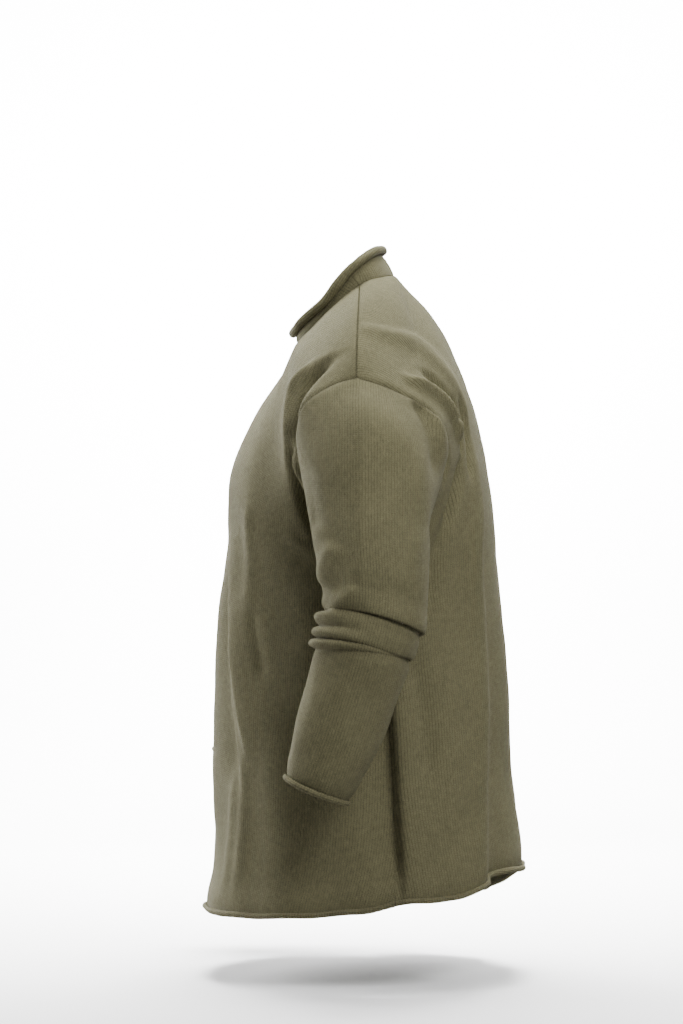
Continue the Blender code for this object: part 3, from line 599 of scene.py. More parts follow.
def fine_sleeve(rings, armhole_points, angles, tuck_size):
    """Rows of points from the armhole to the cuff."""
    stations = np.array([armhole_points] + [ring_points(ring, angles) for ring in rings])
    places = np.arange(len(stations), dtype=float)
    tucks = np.array(TUCKS)
    frontness = (1 + np.sin(angles)) / 2
    spread = np.stack([(1 - frontness) * (1 - 2 * frontness), 4 * frontness * (1 - frontness),
                       frontness * (2 * frontness - 1)], axis=1)
    steps = np.linspace(0, len(tucks) - 1, (len(tucks) - 1) * TUCK_STEPS + 1)
    place = smooth(np.arange(len(tucks)), tucks[:, 0:3] @ spread.T, steps)
    out = smooth(np.arange(len(tucks)), tucks[:, 3:6] @ spread.T, steps) * tuck_size
    columns = []
    for a in range(len(angles)):
        elbow = ELBOW_STATION + place[:, a]
        cap = CAP_SHARES * elbow[0]
        forearm = elbow[-1] + np.linspace(0, 1, FOREARM_STEPS + 1)[1:] * (places[-1] - elbow[-1])
        columns.append(smooth(places, stations[:, a], np.concatenate([cap, elbow, forearm])))
    grid = np.array(columns).transpose(1, 0, 2)
    lift = np.zeros(grid.shape[:2])
    lift[len(CAP_SHARES) : len(CAP_SHARES) + len(steps)] = out
    away = grid - grid.mean(axis=1, keepdims=True)
    return grid + lift[:, :, None] * unit(away)


# %% [markdown]
# ## Cloth pieces as meshes
#
# A piece is a sheet of points in rows. Its free edge is rolled outwards, as plain knitting does by
# itself because its back pulls tighter than its face. Then both sides get half the cloth's thickness.
# The sheet also keeps where each point lies in the knitting: across the stitch columns and along them.

# %% Sheets
ROLL_STEPS = 12
ROLL_TURN = 282
ROLL_TIGHTENS = 0.16
ROLL_TAKES = 0.0012
Wave = namedtuple("Wave", "share size seed")
ROLL_WAVES = (Wave(0.10, 0.085, 3.0), Wave(0.06, 0.023, 5.0))
SEAM_DIP = 0.0013
SEAM_WIDTH = 0.0026
SEAM_LINE = 0.0012
NECK_SHARE = 0.45


class Sheet:
    """Points and faces of one piece, with the place of each face corner in the knitting."""

    def __init__(self, name):
        self.name = name
        self.points = np.zeros((0, 3))
        self.faces = []
        self.places = []

    def add(self, points):
        first = len(self.points)
        self.points = np.concatenate([self.points, points])
        return np.arange(first, first + len(points))

    def grid(self, index, across, along, flip, closed=False):
        """Faces between rows of point numbers, and the knitting place of each point across and along."""
        index = np.asarray(index)
        if closed:
            index = np.concatenate([index, index[:, :1]], axis=1)
        a, b, c, d = index[:-1, :-1], index[:-1, 1:], index[1:, 1:], index[1:, :-1]
        place = np.stack([across, along], axis=2)
        pa, pb, pc, pd = place[:-1, :-1], place[:-1, 1:], place[1:, 1:], place[1:, :-1]
        faces = np.stack([a, b, c, d], axis=2).reshape(-1, 4)
        places = np.stack([pa, pb, pc, pd], axis=2).reshape(-1, 4, 2)
        if flip:
            faces, places = faces[:, ::-1], places[:, ::-1]
        self.faces.append(faces)
        self.places.append(places)

    def finish(self):
        self.faces = np.concatenate(self.faces)
        self.places = np.concatenate(self.places)


def keys_of(points):
    """Places rounded to a micrometre, to find points that two pieces share."""
    return [tuple(key) for key in np.round(points * 1e6).astype(np.int64).tolist()]


def own_normals(sheet):
    """Outward direction of each point, as long as the faces round it are large."""
    p = sheet.points
    f = sheet.faces if isinstance(sheet.faces, np.ndarray) else np.concatenate(sheet.faces)
    normals = np.cross(p[f[:, 2]] - p[f[:, 0]], p[f[:, 3]] - p[f[:, 1]])
    total = np.zeros_like(p)
    for k in range(4):
        np.add.at(total, f[:, k], normals)
    return total


def shared_normals(sheets):
    """Outward normals, shared halfway between the body and a sleeve or the collar where they meet."""
    totals = {}
    own = [own_normals(sheet) for sheet in sheets]
    all_keys = [keys_of(sheet.points) for sheet in sheets]
    for sheet, normals, keys in zip(sheets, own, all_keys):
        group = "body" if sheet.name in ("front", "back") else sheet.name
        for v in boundary_points(sheet):
            place = totals.setdefault(keys[v], {})
            place[group] = place.get(group, 0.0) + normals[v]
    result = []
    for sheet, normals, keys in zip(sheets, own, all_keys):
        normals = unit(normals)
        for v in boundary_points(sheet):
            normals[v] = unit(sum(unit(n) for n in totals[keys[v]].values()))
        result.append(normals)
    return result


def edge_table(sheet):
    """Start and end points of the edges that only one face has."""
    f = sheet.faces
    start = np.concatenate([f[:, 0], f[:, 1], f[:, 2], f[:, 3]])
    end = np.concatenate([f[:, 1], f[:, 2], f[:, 3], f[:, 0]])
    size = len(sheet.points) + 1
    forward, backward = start * size + end, end * size + start
    lonely = ~np.isin(forward, backward)
    return start[lonely], end[lonely]


def boundary_points(sheet):
    """Numbers of the points on a piece's edges."""
    start, end = edge_table(sheet)
    return sorted(set(start.tolist()) | set(end.tolist()))


def distance_to(points, line):
    """Distance from each point to the nearest place on a line through other points."""
    nearest = np.full(len(points), 1e9)
    for a, b in zip(line[:-1], line[1:]):
        along = b - a
        t = np.clip((points - a) @ along / max(along @ along, 1e-18), 0, 1)
        nearest = np.minimum(nearest, np.linalg.norm(points - a - t[:, None] * along, axis=1))
    return nearest


def arc(points, axis):
    """Length along the rows or columns of a grid of points, from 0."""
    steps = np.linalg.norm(np.diff(points, axis=axis), axis=2)
    zero = np.zeros_like(np.take(steps, [0], axis=axis))
    return np.concatenate([zero, np.cumsum(steps, axis=axis)], axis=axis)


def wobble(u, v, size, seed):
    """Uneven height of hand-sized dents and swells, a sum of slanted waves, between about -1 and 1."""
    total = np.zeros(np.shape(u))
    for k in range(6):
        turn = seed * 1.7 + k * 2.399
        scale = size * (0.62 + 0.23 * k)
        total += math.cos(0.9 * k + seed) * np.sin(
            (u * math.cos(turn) + v * math.sin(turn)) * 2 * math.pi / scale + 1.3 * k + seed * 2.1
        )
    return total / 2.4


def uneven(points, size, seed):
    """The same uneven height read at places in space, so that it closes round a tube."""
    x, y, z = np.moveaxis(points, -1, 0)
    return wobble(x + 0.9 * y, z + 0.7 * x - 0.5 * y, size, seed)


def rolled_rows(points, down, outward, diameter, along, curl=ROLL_TURN):
    """Rows that curl outwards past an edge, a little tighter and looser along it."""
    loose = 1 + sum(wave.share * wobble(along, along * 0, wave.size, wave.seed) for wave in ROLL_WAVES)
    radius = ((diameter - WALL) / 2 * loose)[:, None]
    rows = []
    for k in range(1, ROLL_STEPS + 1):
        turn = math.radians(curl) * k / ROLL_STEPS
        tight = 1 - ROLL_TIGHTENS * k / ROLL_STEPS
        spoke = math.sin(turn) * down - math.cos(turn) * outward
        rows.append(points + radius * outward + radius * tight * spoke)
    return rows


# %% [markdown]
# ## Building the five pieces
#
# Front and back come first, because the sleeves and the collar start on their edges.

# %% Front and back
DRAW_IN_WITHIN = 0.010
WAVE_WITHIN = 0.03
BODY_WOBBLE = 0.0011
SLEEVE_WOBBLE = 0.0008
HEM_WAVE = 0.0012
SEAM_ROOM = 0.007
V_AT_UNDERARM = 0.38
CROWDED = 0.022
EVEN_PASSES = 60


def body_sheet(name, front):
    """A panel of two halves that share their centre column below the neck."""
    sheet = Sheet(name)
    sheet.front = front
    sheet.index, sheet.place = {}, {}
    for side in (1, -1):
        fine, rows, shares, neck_row = halves[front, side]
        along = arc(fine, 0)
        along = along - along[rows == LOWER_ROWS] + V_AT_UNDERARM
        across = arc(fine, 1)
        across[rows > neck_row] += np.abs(fine[rows > neck_row, :1, 0])
        numbers = np.zeros(fine.shape[:2], int)
        for r in range(len(fine)):
            points = fine[r] * (side, 1, 1)
            if side == -1 and rows[r] <= neck_row:
                numbers[r, 0] = sheet.index[1][r, 0]
                numbers[r, 1:] = sheet.add(points[1:])
            else:
                numbers[r] = sheet.add(points)
        sheet.index[side], sheet.place[side] = numbers, (across * side, along)
        sheet.grid(numbers, across * side, along, flip=(side == 1) != front)
    sheet.rows, sheet.neck_row = rows, neck_row
    sheet.girths = np.zeros(len(sheet.points))
    sheet.room = np.ones(len(sheet.points))
    sheet.from_hem = np.zeros(len(sheet.points))
    for side in (1, -1):
        fine = halves[front, side][0]
        sheet.girths[sheet.index[side]] = girths_across(front, side, shares)
        sheet.from_hem[sheet.index[side]] = arc(fine, 0)
        to_edge = ease(arc(fine[:, ::-1], 1)[:, ::-1] / SEAM_ROOM)
        to_top = ease(arc(fine[::-1], 0)[::-1] / SEAM_ROOM)
        below = np.maximum(to_edge, ease(LOWER_ROWS - rows)[:, None])
        to_edge = np.where((rows > LOWER_ROWS)[:, None], to_edge, below)
        to_neck = distance_to(sheet.points[sheet.index[side]].reshape(-1, 3),
                              sheet.points[sheet.index[side][rows >= neck_row, 0]])
        sheet.room[sheet.index[side]] = to_edge * ease(to_neck / SEAM_ROOM).reshape(to_edge.shape) * to_top
    return sheet


def even_out(sheet):
    """Spreads the crowded points below the middle of the neck, and leaves the neck's edge as it is."""
    faces = np.concatenate(sheet.faces)
    pairs = np.concatenate([np.roll(faces, k, axis=1)[:, :2] for k in range(4)])
    middle = sheet.points[sheet.index[1][sheet.rows == sheet.neck_row, 0]]
    weight = ease(1 - np.linalg.norm(sheet.points - middle, axis=1) / CROWDED)
    for side in (1, -1):
        weight[sheet.index[side][sheet.rows >= sheet.neck_row, 0]] = 0
    near = weight[pairs[:, 0]] > 0
    pairs = pairs[near]
    count = np.maximum(np.bincount(pairs[:, 0], minlength=len(weight)), 1)[:, None]
    for _ in range(EVEN_PASSES):
        total = np.zeros_like(sheet.points)
        np.add.at(total, pairs[:, 0], sheet.points[pairs[:, 1]])
        sheet.points += (total / count - sheet.points) * weight[:, None]


def fold_body(sheet):
    """Moves a body panel out and in by its folds, and draws its hem in a little."""
    normals = unit(own_normals(sheet))
    z = sheet.points[:, 2]
    height = fold_heights(sheet.girths, z, BODY_FOLDS, GIRTH_METRES, GIRTH_ROUND)
    height += BODY_WOBBLE * uneven(sheet.points, 0.085, 1.0)
    height *= sheet.room
    height -= HEM_DRAW_IN * np.exp(-((sheet.from_hem / DRAW_IN_WITHIN) ** 2))
    sheet.points = sheet.points + normals * height[:, None]
    wave = HEM_WAVE * uneven(sheet.points * (1, 1, 0), 0.11, 7.0)
    sheet.points[:, 2] += wave * np.exp(-sheet.from_hem / WAVE_WITHIN)
    even_out(sheet)
    print(sheet.name, "folds from", round(float(height.min()), 4), "to", round(float(height.max()), 4), "m")


def share_seams(one, other):
    """Gives two panels the same points along their side seams and shoulder seams."""
    def seams(panel, side):
        index = panel.index[side]
        return index[panel.rows <= LOWER_ROWS, -1], index[-1]

    for side in (1, -1):
        for a, b in zip(seams(one, side), seams(other, side)):
            one.points[a] = other.points[b] = (one.points[a] + other.points[b]) / 2


def sink_seams(sheet):
    """Lets a body panel dip along its seams, and keeps how close each point lies to one."""
    # How close each point lies to a seam, weighted per seam, is the mask for the painted shade along the
    # seams
    sheet.seam = np.zeros(len(sheet.points))
    dip = np.zeros(len(sheet.points))
    for side in (1, -1):
        index = sheet.index[side]
        side_seam, armhole = index[sheet.rows <= LOWER_ROWS, -1], index[sheet.rows >= LOWER_ROWS, -1]
        neck = index[sheet.rows >= sheet.neck_row, 0]
        for line, share in ((side_seam, 0.15), (armhole, 1.0), (index[-1], 0.8), (neck, NECK_SHARE)):
            nearest = distance_to(sheet.points, sheet.points[line])
            sheet.seam = np.maximum(sheet.seam, share * np.exp(-((nearest / SEAM_LINE) ** 2)))
            dip = np.maximum(dip, share * SEAM_DIP * np.exp(-((nearest / SEAM_WIDTH) ** 2)))
    sheet.plain = sheet.points.copy()
    sheet.points = sheet.points - unit(own_normals(sheet)) * dip[:, None]


front = body_sheet("front", True)
back = body_sheet("back", False)
for panel in (front, back):
    fold_body(panel)
share_seams(front, back)
for panel in (front, back):
    sink_seams(panel)
share_seams(front, back)


def roll_hem(sheet):
    """Rolls the hem of a body panel outwards."""
    down = np.array([0.0, 0.0, -1.0])
    normals = unit(own_normals(sheet))
    centre = None
    for side in (1, -1):
        edge = sheet.index[side][0]
        across, along = sheet.place[side][0][0], sheet.place[side][1][0]
        outward = unit(normals[edge] * (1, 1, 0))
        rows = rolled_rows(sheet.points[edge], down, outward, HEM_ROLL, np.abs(across))
        numbers = [edge]
        depth = [along]
        for k, row in enumerate(rows):
            new = sheet.add(row)
            if side == -1:
                new[0] = centre[k]
            numbers.append(new)
            depth.append(along - ROLL_TAKES * (k + 1))
        if side == 1:
            centre = [n[0] for n in numbers[1:]]
        across = np.broadcast_to(across, (len(numbers), len(edge)))
        sheet.grid(numbers, across, np.array(depth), flip=(side == 1) == sheet.front)


armhole_numbers = {}
neck_front, neck_back = {}, {}
for side in (1, -1):
    down_front = front.index[side][front.rows >= LOWER_ROWS, -1][::-1]
    up_back = back.index[side][back.rows >= LOWER_ROWS, -1]
    armhole_numbers[side] = (down_front, up_back)
    neck_front[side] = front.index[side][front.rows >= front.neck_row, 0]
    neck_back[side] = back.index[side][back.rows >= back.neck_row, 0]
roll_hem(front)
roll_hem(back)
front.finish()
back.finish()
print("front", len(front.faces), "back", len(back.faces), "faces on one side")

# %% [markdown]
# ## Sleeves and collar
#
# A sleeve's first row lies exactly on the armhole edge of front and back, and the collar's first row on
# the neckline.


# %% Sleeves
Section = namedtuple("Section", "z outer_x middle_y half_depth")
CAP_SECTIONS = (
    Section(-0.380, 0.3200, 0.0195, 0.0530),
    Section(-0.350, 0.3210, 0.0240, 0.0545),
    Section(-0.308, 0.3190, 0.0245, 0.0565),
    Section(-0.249, 0.3065, 0.0220, 0.0650),
    Section(-0.200, 0.2950, 0.0200, 0.0790),
    Section(-0.163, 0.2825, 0.0200, 0.0830),
    Section(-0.106, 0.2400, 0.0200, 0.0830),
)
CAP_MIDDLE_X = 0.205
STRAIGHT_UNTIL = 1.7
ROWS_FROM = 3.3


def cap_places(points, length_at):
    """Straight stitch columns on the upper sleeve: distance round it from its pressed line, and height."""
    sections = sorted(CAP_SECTIONS)
    z = points[..., 2]
    outer_x, middle_y, half_depth = smooth([c.z for c in sections], [c[1:] for c in sections], z.ravel()).T
    shape = z.shape
    half_width = (outer_x - CAP_MIDDLE_X).reshape(shape)
    middle_y, half_depth = middle_y.reshape(shape), half_depth.reshape(shape)

    def round_it(x, y):
        turn = np.arctan2((middle_y - y) / half_depth, (x - CAP_MIDDLE_X) / half_width)
        steps = (np.arange(12) + 0.5) / 12
        each = turn[..., None] * steps
        lengths = np.hypot(half_width[..., None] * np.sin(each), half_depth[..., None] * np.cos(each))
        return lengths.mean(axis=-1) * turn

    line_x = CAP_MIDDLE_X + half_width * np.sqrt(1 - ((middle_y - PRESSED_LINE_Y) / half_depth) ** 2)
    across = round_it(points[..., 0], points[..., 1]) - round_it(line_x, np.full(shape, PRESSED_LINE_Y))
    return across, length_at(z)


def sleeve_sheet(name, side, rings, folds, tuck_size):
    """A sleeve whose columns of points start and end at the underarm."""
    down_front, up_back = armhole_numbers[side]
    edge = np.concatenate([back.plain[up_back], front.plain[down_front][1:-1]]) * (side, 1, 1)
    sunk = np.concatenate([back.points[up_back], front.points[down_front][1:-1]]) * (side, 1, 1)
    back_rows = back.rows[back.rows >= LOWER_ROWS]
    front_rows = front.rows[front.rows >= LOWER_ROWS][::-1]
    back_share = np.interp(
        back_rows, [LOWER_ROWS, back.neck_row, back_rows[-1]], [0, BACK_NECK_SHARE, 1])
    front_share = np.interp(
        front_rows, [LOWER_ROWS, front.neck_row, front_rows[0]], [0, FRONT_NECK_SHARE, 1])
    angles = np.concatenate([math.pi * (1 + back_share), math.pi * (3 - front_share[1:-1])])
    middle = len(back_share) - 1
    grid = fine_sleeve(rings, edge, angles, tuck_size)
    flat = Sheet("flat")
    flat.points = grid.reshape(-1, 3)
    numbers = np.arange(len(flat.points)).reshape(grid.shape[:2])
    zeros = np.zeros((len(numbers), numbers.shape[1] + 1))
    flat.grid(numbers, zeros, zeros, flip=False, closed=True)
    normals = unit(own_normals(flat)).reshape(grid.shape)
    outer = ease((np.cos(angles) + 0.25) / 0.5)[None, :]
    y, z = grid[:, :, 1], grid[:, :, 2]
    height = fold_heights(y, z, folds, 1.0) * outer
    pressed = np.exp(-np.abs(y - PRESSED_LINE_Y) / PRESSED_WIDTH) * PRESSED_DEPTH
    height += pressed * ease((PRESSED_TOP - z) / 0.03) * ease((z - PRESSED_END) / 0.02) * outer
    from_seam = arc(grid, 0)
    height += SLEEVE_WOBBLE * uneven(grid, 0.06, 4.0 + side)
    height *= ease(from_seam / SEAM_ROOM)
    grid = grid + normals * height[:, :, None]
    grid += (sunk - edge) * np.exp(-((from_seam / SEAM_WIDTH) ** 2))[:, :, None]
    grid[0] = sunk
    down = unit(grid[-1] - grid[-2])
    outward = unit(grid[-1] - grid[-1].mean(axis=0))
    outward = unit(outward - (outward * down).sum(axis=1, keepdims=True) * down)
    rows = rolled_rows(grid[-1], down, outward, CUFF_ROLL, arc(grid[-1:], 1)[0])
    body = len(grid)
    wrap = np.concatenate([grid, grid[:, :1]], axis=1)
    across, along = arc(wrap, 1), arc(wrap, 0)
    shift = PRESSED_LINE_Y - wrap[CAP_STEPS // 2, middle, 1]
    across = across - across[:, middle : middle + 1] + shift
    along = along[-1:] - along
    cap_rows = len(CAP_SHARES)
    station = np.interp(np.arange(body), np.arange(cap_rows + 1), np.append(CAP_SHARES, 1.0))
    station = station * (ELBOW_STATION + TUCKS[0].place_side)
    cap = np.argsort(wrap[: cap_rows + 1, middle, 2])
    heights, lengths = wrap[cap, middle, 2], along[cap, middle]
    straight = cap_places(wrap, lambda at: np.interp(at, heights, lengths))
    weight = ease((ROWS_FROM - station) / (ROWS_FROM - STRAIGHT_UNTIL))[:, None]
    across = across + (straight[0] - across) * weight
    along = along + (straight[1] - along) * weight
    full = np.concatenate([grid, np.array(rows)])
    down_roll = -ROLL_TAKES * np.arange(1, len(rows) + 1)[:, None]
    across = np.concatenate([across, np.repeat(across[-1:], len(rows), axis=0)])
    along = np.concatenate([along, along[-1:] + down_roll])
    sheet = Sheet(name)
    index = np.array([sheet.add(row * (side, 1, 1)) for row in full])
    sheet.grid(index, across * side, along, flip=side == -1, closed=True)
    # Mask for the painted shade along the armhole seam
    sheet.seam = np.exp(-((from_seam / SEAM_LINE) ** 2)).ravel()
    sheet.finish()
    return sheet


sleeve_left = sleeve_sheet("sleeve_left", 1, LEFT_RINGS, LEFT_SLEEVE_FOLDS, 1.0)
sleeve_right = sleeve_sheet("sleeve_right", -1, RIGHT_RINGS, RIGHT_SLEEVE_FOLDS, 0.85)
print("sleeves", len(sleeve_left.faces), len(sleeve_right.faces), "faces on one side")

# %% [markdown]
# The collar is a short band that leans forward with the neck. It swells a little, and its top edge curls
# outwards almost full circle.

# %% Collar
COLLAR_ROWS = 16
COLLAR_HEIGHT = 0.022
COLLAR_SWELL = 0.0013
COLLAR_CURL = 326


def collar_sheet(name):
    """A band from the neckline to the neck's top line, with its edge curled."""
    quarter_front = np.linspace(0, math.pi / 2, len(neck_front[1]))
    quarter_back = np.linspace(math.pi, math.pi / 2, len(neck_back[1]))[::-1]

    def neckline(front_points, back_points):
        return np.concatenate([
            front_points[neck_front[1]], back_points[neck_back[1]][::-1][1:],
            back_points[neck_back[-1]][1:], front_points[neck_front[-1]][::-1][1:-1],
        ])

    low = neckline(front.plain, back.plain)
    sunk = neckline(front.points, back.points)
    half = np.concatenate([quarter_front, quarter_back[1:]])
    turns = np.concatenate([half, (2 * math.pi - half[1:-1])[::-1]])
    high = neck_loop(NECK_TOP, turns)
    outward = unit(high - high.mean(axis=0))
    swelling = (1 + 0.4 * wobble(turns, turns * 0, 0.9, 6.0))[:, None]
    rows = []
    for k in range(COLLAR_ROWS + 1):
        t = k / COLLAR_ROWS
        swell = COLLAR_SWELL * math.sin(math.pi * t) * swelling
        dip = (sunk - low) * math.exp(-((t * COLLAR_HEIGHT / SEAM_WIDTH) ** 2))
        rows.append(low + (high - low) * t + outward * swell + dip)
    rows[0] = sunk
    up = unit(rows[-1] - rows[-3])
    outward = unit(outward - (outward * up).sum(axis=1, keepdims=True) * up)
    around = arc(np.array([high]), 1)[0]
    rows += rolled_rows(high, up, outward, COLLAR_ROLL, around, COLLAR_CURL)
    full = np.array(rows)
    wrap = np.concatenate([full, full[:, :1]], axis=1)
    across, along = arc(wrap, 1), arc(wrap, 0)
    across[:] = across[0]
    sheet = Sheet(name)
    index = np.array([sheet.add(row) for row in full])
    sheet.grid(index, across, along, flip=False, closed=True)
    shares = np.arange(COLLAR_ROWS + 1) / COLLAR_ROWS
    # Mask for the painted shade along the neck seam
    sheet.seam = np.repeat(NECK_SHARE * np.exp(-((shares * COLLAR_HEIGHT / SEAM_LINE) ** 2)), len(low))
    sheet.finish()
    return sheet


collar = collar_sheet("collar")
print("collar", len(collar.faces), "faces on one side")

# %% [markdown]
# ## Walls
#
# Both sides of each sheet move out by half the cloth's thickness, and a narrow face closes each edge.
# Where two pieces meet, their edges share one direction, so the linked seam looks closed, and the
# cloth dips a little towards it.

# %% Walls
pieces = {}
sheets = [front, back, sleeve_left, sleeve_right, collar]
normals_at = {sheet.name: normals for sheet, normals in zip(sheets, shared_normals(sheets))}


def wall(sheet, normals):
    """The shown piece: outer side, inner side and the narrow faces between them."""
    points = sheet.points
    count = len(points)
    start, end = edge_table(sheet)
    corners = np.concatenate([points + normals * WALL / 2, points - normals * WALL / 2])
    outer = sheet.faces
    inner = sheet.faces[:, ::-1] + count
    rim = np.stack([end, start, start + count, end + count], axis=1)
    faces = np.concatenate([outer, inner, rim])
    rim_place = np.zeros((len(rim), 4, 2))
    places = np.concatenate([sheet.places, sheet.places[:, ::-1], rim_place])
    purl = np.concatenate([np.zeros(len(outer)), np.ones(len(inner)), np.ones(len(rim))])
    mesh = bpy.data.meshes.new(sheet.name)
    mesh.vertices.add(len(corners))
    mesh.vertices.foreach_set("co", corners.ravel())
    mesh.loops.add(len(faces) * 4)
    mesh.loops.foreach_set("vertex_index", faces.ravel())
    mesh.polygons.add(len(faces))
    mesh.polygons.foreach_set("loop_start", np.arange(0, len(faces) * 4, 4))
    mesh.update(calc_edges=True)
    uv = mesh.uv_layers.new(name="knitting")
    uv.data.foreach_set("uv", places.reshape(-1, 2).ravel())
    side = mesh.attributes.new("wrong_side", "FLOAT", "FACE")
    side.data.foreach_set("value", purl)
    # The seam mask carries the painted shade along the seams into the wool's colour
    close = np.zeros(count)
    close[: len(sheet.seam)] = sheet.seam
    seam = mesh.attributes.new("seam", "FLOAT", "POINT")
    seam.data.foreach_set("value", np.concatenate([close, close]))
    mesh.validate()
    mesh.shade_smooth()
    shown = bpy.data.objects.new("knit_" + sheet.name, mesh)
    bpy.context.scene.collection.objects.link(shown)
    return shown


for sheet in sheets:
    pieces[sheet.name] = wall(sheet, normals_at[sheet.name])
    print(pieces[sheet.name].name, len(pieces[sheet.name].data.polygons) * 2, "triangles")

# %% [markdown]
# ## The knitted surface
#
# Plain knitting shows columns of small V shapes on its face and rows of short arcs on its back.
# One column is 3.1 mm wide and one row 2.25 mm high, worked out from the fine lines in the picture.
# The pattern follows each piece's own knitting places, so it turns with the arm and runs with the hem.

# %% Knit pattern
WALE = 0.0031
COURSE = 0.00225


def give(tree, socket, value):
    """Links a socket to another one, or sets its value."""
    if isinstance(value, bpy.types.NodeSocket):
        tree.links.new(value, socket)
    else:
        socket.default_value = value


def add_node(tree, kind, **inputs):
    """A new node, with the inputs of those names given."""
    node = tree.nodes.new(kind)
    for name, value in inputs.items():
        give(tree, node.inputs[name.replace("_", " ")], value)
    return node


def maths(tree, what, *values, clamp=False):
    """The result of one step of arithmetic on sockets and numbers."""
    node = tree.nodes.new("ShaderNodeMath")
    node.operation = what
    node.use_clamp = clamp
    for socket, value in zip(node.inputs, values):
        give(tree, socket, value)
    return node.outputs[0]


def knit_pattern():
    """A group that turns a place in the knitting into the height of the yarn and the gap beside it."""
    tree = bpy.data.node_groups.new("knit pattern", "ShaderNodeTree")
    for name, kind in (("Place", "NodeSocketVector"), ("Wrong side", "NodeSocketFloat")):
        tree.interface.new_socket(name, in_out="INPUT", socket_type=kind)
    for name in ("Height", "Gap"):
        tree.interface.new_socket(name, in_out="OUTPUT", socket_type="NodeSocketFloat")
    inside = tree.nodes.new("NodeGroupInput").outputs
    outside = tree.nodes.new("NodeGroupOutput").inputs

    def do(what, *values, **options):
        return maths(tree, what, *values, **options)

    def arch(value):
        return do("SINE", do("MULTIPLY", do("FRACT", value), math.pi))

    split = add_node(tree, "ShaderNodeSeparateXYZ", Vector=inside["Place"]).outputs
    column = do("DIVIDE", split[0], WALE)
    row = do("DIVIDE", split[1], COURSE)
    from_middle = do("ABSOLUTE", do("SUBTRACT", do("FRACT", column), 0.5))
    off_leg = do("MULTIPLY", do("ABSOLUTE", do("SUBTRACT", from_middle, 0.25)), 4.0)
    leg = do("SUBTRACT", 1.0, do("POWER", off_leg, 2.0))
    stitch = arch(do("SUBTRACT", row, do("MULTIPLY", from_middle, 1.4)))
    leg = do("ADD", do("MULTIPLY", leg, 0.4), do("MULTIPLY", arch(column), 0.6))
    face = do("MULTIPLY", leg, do("ADD", 0.55, do("MULTIPLY", stitch, 0.45)))
    sway = do("COSINE", do("MULTIPLY", column, 2 * math.pi))
    back_side = do("MULTIPLY", arch(row), do("ADD", 0.72, do("MULTIPLY", sway, 0.28)))
    mix = add_node(tree, "ShaderNodeMix", Factor=inside["Wrong side"], A=face, B=back_side)
    height = mix.outputs["Result"]
    tree.links.new(height, outside["Height"])
    tree.links.new(do("SUBTRACT", 1.0, height, clamp=True), outside["Gap"])
    return tree


knit = knit_pattern()
print("knit pattern nodes", len(knit.nodes))

# %% [markdown]
# ## Yarn colour
#
# The yarn is a heathered olive: a mix of brown, green and pale fibres. Colour wanders slightly from
# stitch to stitch and in broad soft patches, and the loose hairs on top catch light at grazing angles.


# %% Wool material
OLIVE = (0.121, 0.113, 0.062)
# Painted shade: how much the colour darkens in the gaps between the stitches, where shade falls
GAP_PAINTED_SHADE = 0.34
# Painted shade: how much the colour darkens along the seam lines, where the cloth dips and shade falls
SEAM_PAINTED_SHADE = 0.45
Tone = namedtuple("Tone", "scale detail amount")
TONES = (Tone(900.0, 1.0, 0.34), Tone(170.0, 2.0, 0.16), Tone(16.0, 2.0, 0.10))


def new_material(name, **inputs):
    """A material with its Principled shader's inputs set, and its tree and shader."""
    material = bpy.data.materials.new(name)
    material.use_nodes = True
    shader = material.node_tree.nodes["Principled BSDF"]
    for key, value in inputs.items():
        shader.inputs[key.replace("_", " ")].default_value = value
    return material, material.node_tree, shader


def colour_mix(tree, factor, a, b):
    """A mix of two colours."""
    mix = tree.nodes.new("ShaderNodeMix")
    mix.data_type = "RGBA"
    for name, value in (("Factor", factor), ("A", a), ("B", b)):
        give(tree, mix.inputs[name], value)
    return mix


def wool(name):
    """The knit's material: heathered colour, painted shade in the gaps between stitches and along the
    seams, and the stitches as bump.
    """
    material, tree, shader = new_material(
        name, Roughness=0.92, Specular_IOR_Level=0.10, Sheen_Weight=0.02, Sheen_Roughness=0.45,
        Sheen_Tint=(0.85, 0.82, 0.70, 1.0))
    place = tree.nodes.new("ShaderNodeUVMap")
    place.uv_map = "knitting"
    wrong, seam = tree.nodes.new("ShaderNodeAttribute"), tree.nodes.new("ShaderNodeAttribute")
    wrong.attribute_name, seam.attribute_name = "wrong_side", "seam"
    pattern = tree.nodes.new("ShaderNodeGroup")
    pattern.node_tree = knit
    tree.links.new(place.outputs[0], pattern.inputs["Place"])
    tree.links.new(wrong.outputs["Fac"], pattern.inputs["Wrong side"])
    where = tree.nodes.new("ShaderNodeTexCoord").outputs["Object"]
    level = 1.03
    for tone in TONES:
        noise = add_node(tree, "ShaderNodeTexNoise", Vector=where, Scale=tone.scale, Detail=tone.detail)
        part = maths(tree, "SUBTRACT", noise.outputs["Fac"], 0.5)
        level = maths(tree, "ADD", level, maths(tree, "MULTIPLY", part, tone.amount * 2))
    # Painted shade in the gaps between the stitches
    level = maths(tree, "SUBTRACT", level, maths(tree, "MULTIPLY", pattern.outputs["Gap"], GAP_PAINTED_SHADE))
    # Painted shade along the seams, read from the seam mask
    shade = maths(tree, "SUBTRACT", 1.0, maths(tree, "MULTIPLY", seam.outputs["Fac"], SEAM_PAINTED_SHADE))
    colour = colour_mix(tree, 1.0, (*OLIVE, 1.0), maths(tree, "MULTIPLY", level, shade))
    colour.blend_type = "MULTIPLY"
    bump = add_node(tree, "ShaderNodeBump", Strength=0.7, Distance=0.0008, Height=pattern.outputs["Height"])
    tree.links.new(colour.outputs["Result"], shader.inputs["Base Color"])
    tree.links.new(bump.outputs["Normal"], shader.inputs["Normal"])
    return material


